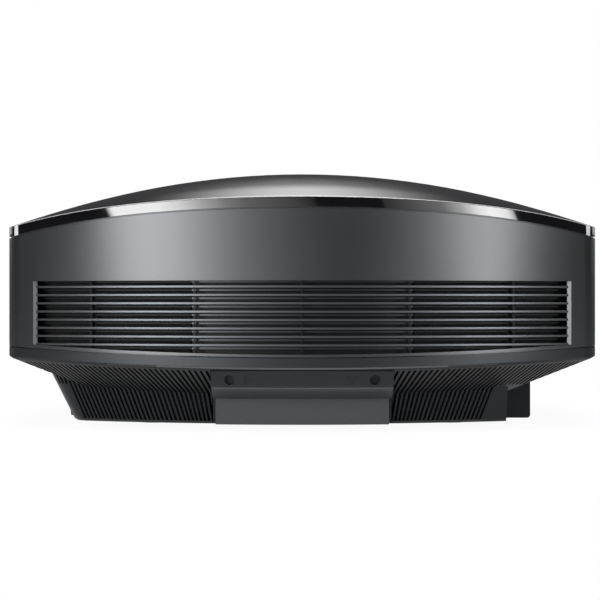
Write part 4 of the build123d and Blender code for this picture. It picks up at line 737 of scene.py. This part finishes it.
            # Counts up to the middle of the width and down again
            inward = add_node(tree, "Math", {0: part["X"], 1: 0.5}, operation="PINGPONG").outputs["Value"]
            span = {"Value": inward, "From Max": plan.soft_sides}
            soft = add_node(tree, "MapRange", span, interpolation_type="SMOOTHSTEP").outputs["Result"]
            tree.links.new(soft, emission.inputs["Strength"])

    def _camera(self) -> None:
        """Make the camera, level and looking along -Y."""
        data = bpy.data.cameras.new("camera")
        data.lens = self.camera.focal
        data.sensor_width = self.camera.sensor
        data.shift_y = self.camera.lift
        data.clip_start = CLIP_START
        camera = bpy.data.objects.new("camera", data)
        bpy.context.collection.objects.link(camera)
        camera.location = self.camera.place
        camera.rotation_euler = (math.pi / 2, 0, math.pi)
        bpy.context.scene.camera = camera


def add_piece(
    name: str, body: str, slot: Slot, points: np.ndarray, faces: list[list[int]], finishes: FinishMaker
) -> bpy.types.Object:
    """Add a new piece to the projector.

    Args:
        name: Its name.
        body: The body that it rides on.
        slot: The slot that it takes its finish from.
        points: Its points, in the shared frame.
        faces: Its faces, as lists of point numbers.
        finishes: The material maker.

    Returns:
        The new piece.
    """
    mesh = bpy.data.meshes.new(name)
    mesh.from_pydata(points.reshape(-1, 3).tolist(), [], faces)
    mesh.materials.append(finishes.material(slot))
    piece = bpy.data.objects.new(name, mesh)
    bpy.context.collection.objects.link(piece)
    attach(piece, body)
    return piece


@dataclass(frozen=True)
class RaisedMark:
    """A small moulded triangle, drawn as a raised line.

    Attributes:
        name: The piece's name.
        width: Size across, in metres.
        height: Size along the other way, in metres.
        point: Direction that it points in, in degrees from the first axis.
    """

    name: str
    width: float
    height: float
    point: float

    def outline(self) -> np.ndarray:
        """Work out the triangle's line.

        In polar form a triangle's radius is 1 over the greatest cosine to its three sides' normals. A power
        sum of those cosines instead of the greatest one rounds the corners.

        Returns:
            Points round the closed line, one row each.
        """
        turn = np.linspace(0, 2 * np.pi, MARK_STEPS, endpoint=False)
        sides = math.radians(self.point) + np.pi + np.array([0, 2, 4]) * np.pi / 3
        near = np.clip(np.cos(turn[:, None] - sides[None, :]), 0, None)
        radius = (near**MARK_POWER).sum(axis=1) ** (-1 / MARK_POWER)
        line = radius[:, None] * np.column_stack((np.cos(turn), np.sin(turn)))
        span = line.max(axis=0) - line.min(axis=0)
        return line / span * (self.width, self.height)

    def tube(self, carry: Callable[[np.ndarray, np.ndarray], tuple[np.ndarray, np.ndarray]]) -> np.ndarray:
        """Carry a round line along the outline, half sunk in the surface under it.

        Each point is the surface point beside the outline, moved along the surface's normal by the line's
        own circle.

        Args:
            carry: Gives surface points and normals for two surface coordinates.

        Returns:
            Points of the tube, ring by ring.
        """
        line = self.outline()
        along = np.roll(line, -1, axis=0) - np.roll(line, 1, axis=0)
        along /= np.linalg.norm(along, axis=1)[:, None]
        aside = np.column_stack((along[:, 1], -along[:, 0]))
        circle = np.linspace(0, 2 * np.pi, MARK_SIDES, endpoint=False)
        spots = line[:, None, :] + MARK_LINE * np.cos(circle)[None, :, None] * aside[:, None, :]
        points, normals = carry(spots[..., 0], spots[..., 1])
        return points + MARK_LINE * np.sin(circle)[None, :, None] * normals

    def faces(self) -> list[list[int]]:
        """Return the quads of a closed tube of rings."""
        ring = np.arange(MARK_STEPS)[:, None] * MARK_SIDES
        side = np.arange(MARK_SIDES)[None, :]
        next_ring = np.roll(ring, -1, axis=0)
        next_side = np.roll(side, -1, axis=1)
        quads = (ring + side, ring + next_side, next_ring + next_side, next_ring + side)
        return np.stack(quads, axis=-1).reshape(-1, 4).tolist()


@dataclass(frozen=True)
class CoverMarks:
    """The two marks beside the lamp cover's screws, on the cone of the cover's brow.

    Attributes:
        top_inset: How far in from the back's arc the brow starts.
        top_height: Height of that start.
        ridge_inset: How far in the brow's ridge is.
        ridge_height: Height of the ridge.
        left: The left mark.
        left_place: Its place across and its height.
        right: The right mark.
        right_place: Its place across and its height.
    """

    top_inset: float = 1.5 * MM
    top_height: float = 41.0 * MM
    ridge_inset: float = 12.0 * MM
    ridge_height: float = 29.3 * MM
    left: RaisedMark = RaisedMark("cover_mark_left", 4.4 * MM, 5.0 * MM, 180.0)
    left_place: tuple[float, float] = (35.9 * MM, 35.0 * MM)
    right: RaisedMark = RaisedMark("cover_mark_right", 7.6 * MM, 4.6 * MM, 270.0)
    right_place: tuple[float, float] = (-32.2 * MM, 35.4 * MM)

    def build(self, finishes: FinishMaker) -> list[bpy.types.Object]:
        """Make both marks.

        Args:
            finishes: The material maker.

        Returns:
            The two pieces.
        """
        pieces = []
        for mark, place in ((self.left, self.left_place), (self.right, self.right_place)):
            points = mark.tube(lambda across, up, at=place: self._brow(at[0] + across, at[1] + up))
            piece = add_piece(mark.name, "lamp_door", Slot.DARK_SHELL, points, mark.faces(), finishes)
            piece.data.shade_smooth()
            pieces.append(piece)
        return pieces

    def _brow(self, across: np.ndarray, height: np.ndarray) -> tuple[np.ndarray, np.ndarray]:
        """Work out the brow's cone: its radius falls in step with the height below its start.

        Args:
            across: Places across.
            height: Heights.

        Returns:
            Points on the cone and its outward normals.
        """
        slope = (self.ridge_inset - self.top_inset) / (self.top_height - self.ridge_height)
        radius = ARC_RADIUS - self.top_inset - slope * (self.top_height - height)
        back = np.sqrt(radius**2 - across**2)
        points = np.stack((across, back - ARC_OFFSET, height), axis=-1)
        normals = np.stack((across / radius, back / radius, np.full_like(radius, -slope)), axis=-1)
        return points, normals / math.hypot(1.0, slope)


@dataclass(frozen=True)
class FilterSeals:
    """The foam strips that close the gaps between the louvre's middle plate and the two filters.

    Attributes:
        near_inset: How far in from the back's arc a strip starts.
        far_inset: How far in it ends.
        inner: Where it starts across, from the middle.
        outer: Where it ends across.
        low: Its lower end.
        top: Its upper end.
    """

    near_inset: float = 16.2 * MM
    far_inset: float = 19.4 * MM
    inner: float = 66.0 * MM
    outer: float = 72.9 * MM
    low: float = 50.6 * MM
    top: float = 99.4 * MM

    def build(self, finishes: FinishMaker) -> list[bpy.types.Object]:
        """Make both strips: the four corners of a section on the arcs, carried straight up.

        Args:
            finishes: The material maker.

        Returns:
            The two pieces.
        """
        across = np.array([self.inner, self.outer, self.outer, self.inner])
        inset = np.array([self.far_inset, self.far_inset, self.near_inset, self.near_inset])
        back = np.sqrt((ARC_RADIUS - inset) ** 2 - across**2) - ARC_OFFSET
        around = len(across)
        faces = [[at, (at + 1) % around, (at + 1) % around + around, at + around] for at in range(around)]
        faces += [list(range(around))[::-1], list(range(around, 2 * around))]
        pieces = []
        for name, side in (("filter_seal_left", 1), ("filter_seal_right", -1)):
            low = np.column_stack((side * across, back, np.full(around, self.low)))
            top = np.column_stack((side * across, back, np.full(around, self.top)))
            turned = [face[::side] for face in faces]
            pieces.append(add_piece(name, "chassis", Slot.FILTER, np.array((low, top)), turned, finishes))
        return pieces


@dataclass(frozen=True)
class RibScreens:
    """The dust screens inside the lower case, behind the slots between its ribs.

    Attributes:
        half_depth: Half of the casing's depth.
        half_width: Half of its width.
        foot_radius: Radius of a screen's lower edge.
        foot_height: Height of that edge.
        bend_radius: Radius at which it bends from the tub's wall to the shoulder.
        rim_radius: Radius of its upper edge.
        edge_height: Height of the shoulder's outer edge at the back.
        side_height: Height of the shoulder's outer edge at the sides.
        clearance: How far above the shoulder's outer face it lies.
        first: Place across of its inner end at the lower edge.
        last_left: Angle of the left screen's outer end, in degrees.
        last_right: The same on the right, where the connector bay is.
    """

    half_depth: float = 231.95 * MM
    half_width: float = 203.7 * MM
    foot_radius: float = 268.0 * MM
    foot_height: float = 7.8 * MM
    bend_radius: float = 274.5 * MM
    rim_radius: float = 314.0 * MM
    edge_height: float = 42.0 * MM
    side_height: float = 51.5 * MM
    clearance: float = 4.6 * MM
    first: float = 61.5 * MM
    last_left: float = 36.4
    last_right: float = 27.0

    def build(self, finishes: FinishMaker) -> list[bpy.types.Object]:
        """Make both screens as thin shells.

        Args:
            finishes: The material maker.

        Returns:
            The two pieces.
        """
        left = ("rib_screen_left", 1, self.last_left)
        right = ("rib_screen_right", -1, self.last_right)
        pieces = []
        for name, side, last in (left, right):
            points = self._surface(side, math.radians(last))
            piece = add_piece(name, "chassis", Slot.FILTER, points, self._faces(side), finishes)
            shell = piece.modifiers.new("shell", "SOLIDIFY")
            shell.thickness = SCREEN_THICKNESS
            shell.offset = 0.0
            pieces.append(piece)
        return pieces

    def _surface(self, side: int, last: float) -> np.ndarray:
        """Work out one screen as a grid.

        Outside the bend the height is that of the shoulder: a cone about the arc's centre, tipped so that it
        climbs away from the back, or a plain slope near the side where that is higher. Inside the bend the
        height runs straight down to the foot.

        Args:
            side: 1 for the left and -1 for the right.
            last: Angle of the outer end, in radians.

        Returns:
            The grid's points.
        """
        start = math.asin(self.first / self.foot_radius)
        angle = np.linspace(start, last, SCREEN_STEPS)[:, None]
        outer = np.linspace(self.bend_radius, self.rim_radius, SCREEN_ROWS - 1)
        radius = np.concatenate(([self.foot_radius], outer))[None, :]
        across = radius * np.sin(angle)
        back = radius * np.cos(angle) - ARC_OFFSET
        cone = self.edge_height - (ARC_RADIUS - radius) * math.tan(SHOULDER_SLOPE)
        cone = cone + (self.half_depth - back) * math.tan(SHOULDER_TILT)
        slope = self.side_height - (self.half_width - across) * math.tan(SIDE_SLOPE)
        height = np.maximum(cone, slope) + self.clearance
        height[:, 0] = self.foot_height
        return np.stack((side * across, back, height), axis=-1)

    def _faces(self, side: int) -> list[list[int]]:
        """Return the grid's quads, turned to face out.

        Args:
            side: 1 for the left and -1 for the right.

        Returns:
            Lists of point numbers.
        """
        corner = np.arange(SCREEN_STEPS - 1)[:, None] * SCREEN_ROWS + np.arange(SCREEN_ROWS - 1)[None, :]
        quads = (corner, corner + 1, corner + SCREEN_ROWS + 1, corner + SCREEN_ROWS)
        return np.stack(quads[::side], axis=-1).reshape(-1, 4).tolist()


class Projector:
    """The dressed projector."""

    def __init__(self, frame: dict, finishes: FinishMaker) -> None:
        """Keep the frame and the finishes.

        Args:
            finishes: The material maker.
        """
        self.frame = frame
        self.finishes = finishes
        self.slots = {entry["node"]: Slot(entry["material_slot"]) for entry in frame["record"]["subparts"]}

    def dress(self) -> None:
        """Give every part from the frame its finish and soft edges."""
        for name, node in self.frame["nodes"].items():
            node.data.materials.clear()
            node.data.materials.append(self.finishes.material(self.slots[name]))
            self._soften(node)

    def _soften(self, node: bpy.types.Object) -> None:
        """Break the sharp edges of a part and keep its flats flat.

        The band's break is finer, so that its lower edge stays out of the painted highlight line along its
        upper edge.

        Args:
            node: The part's object.
        """
        weld = node.modifiers.new("weld", "WELD")
        weld.merge_threshold = WELD_GAP
        bevel = node.modifiers.new("bevel", "BEVEL")
        bevel.width = BAND_BREAK if node.name == "rim_band" else EDGE_BREAK
        bevel.segments = EDGE_SEGMENTS
        bevel.limit_method = "ANGLE"
        bevel.angle_limit = math.radians(EDGE_ANGLE)
        node.modifiers.new("normals", "WEIGHTED_NORMAL").keep_sharp = True


def main() -> None:
    """Build the whole scene."""
    logging.basicConfig(level=logging.INFO)
    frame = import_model()
    bpy.context.scene.view_settings.view_transform = "Standard"
    projector = Projector(frame, FinishMaker(FINISHES))
    projector.dress()
    extras = []
    for maker in (CoverMarks(), FilterSeals(), RibScreens()):
        extras += maker.build(projector.finishes)
    Studio(CameraPlan(), SOFTBOXES).build()
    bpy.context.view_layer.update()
    LOG.info("%d parts dressed", len(frame["nodes"]))
    for piece in extras:
        LOG.info("%s added", piece.name)


if __name__ == "__main__":
    main()
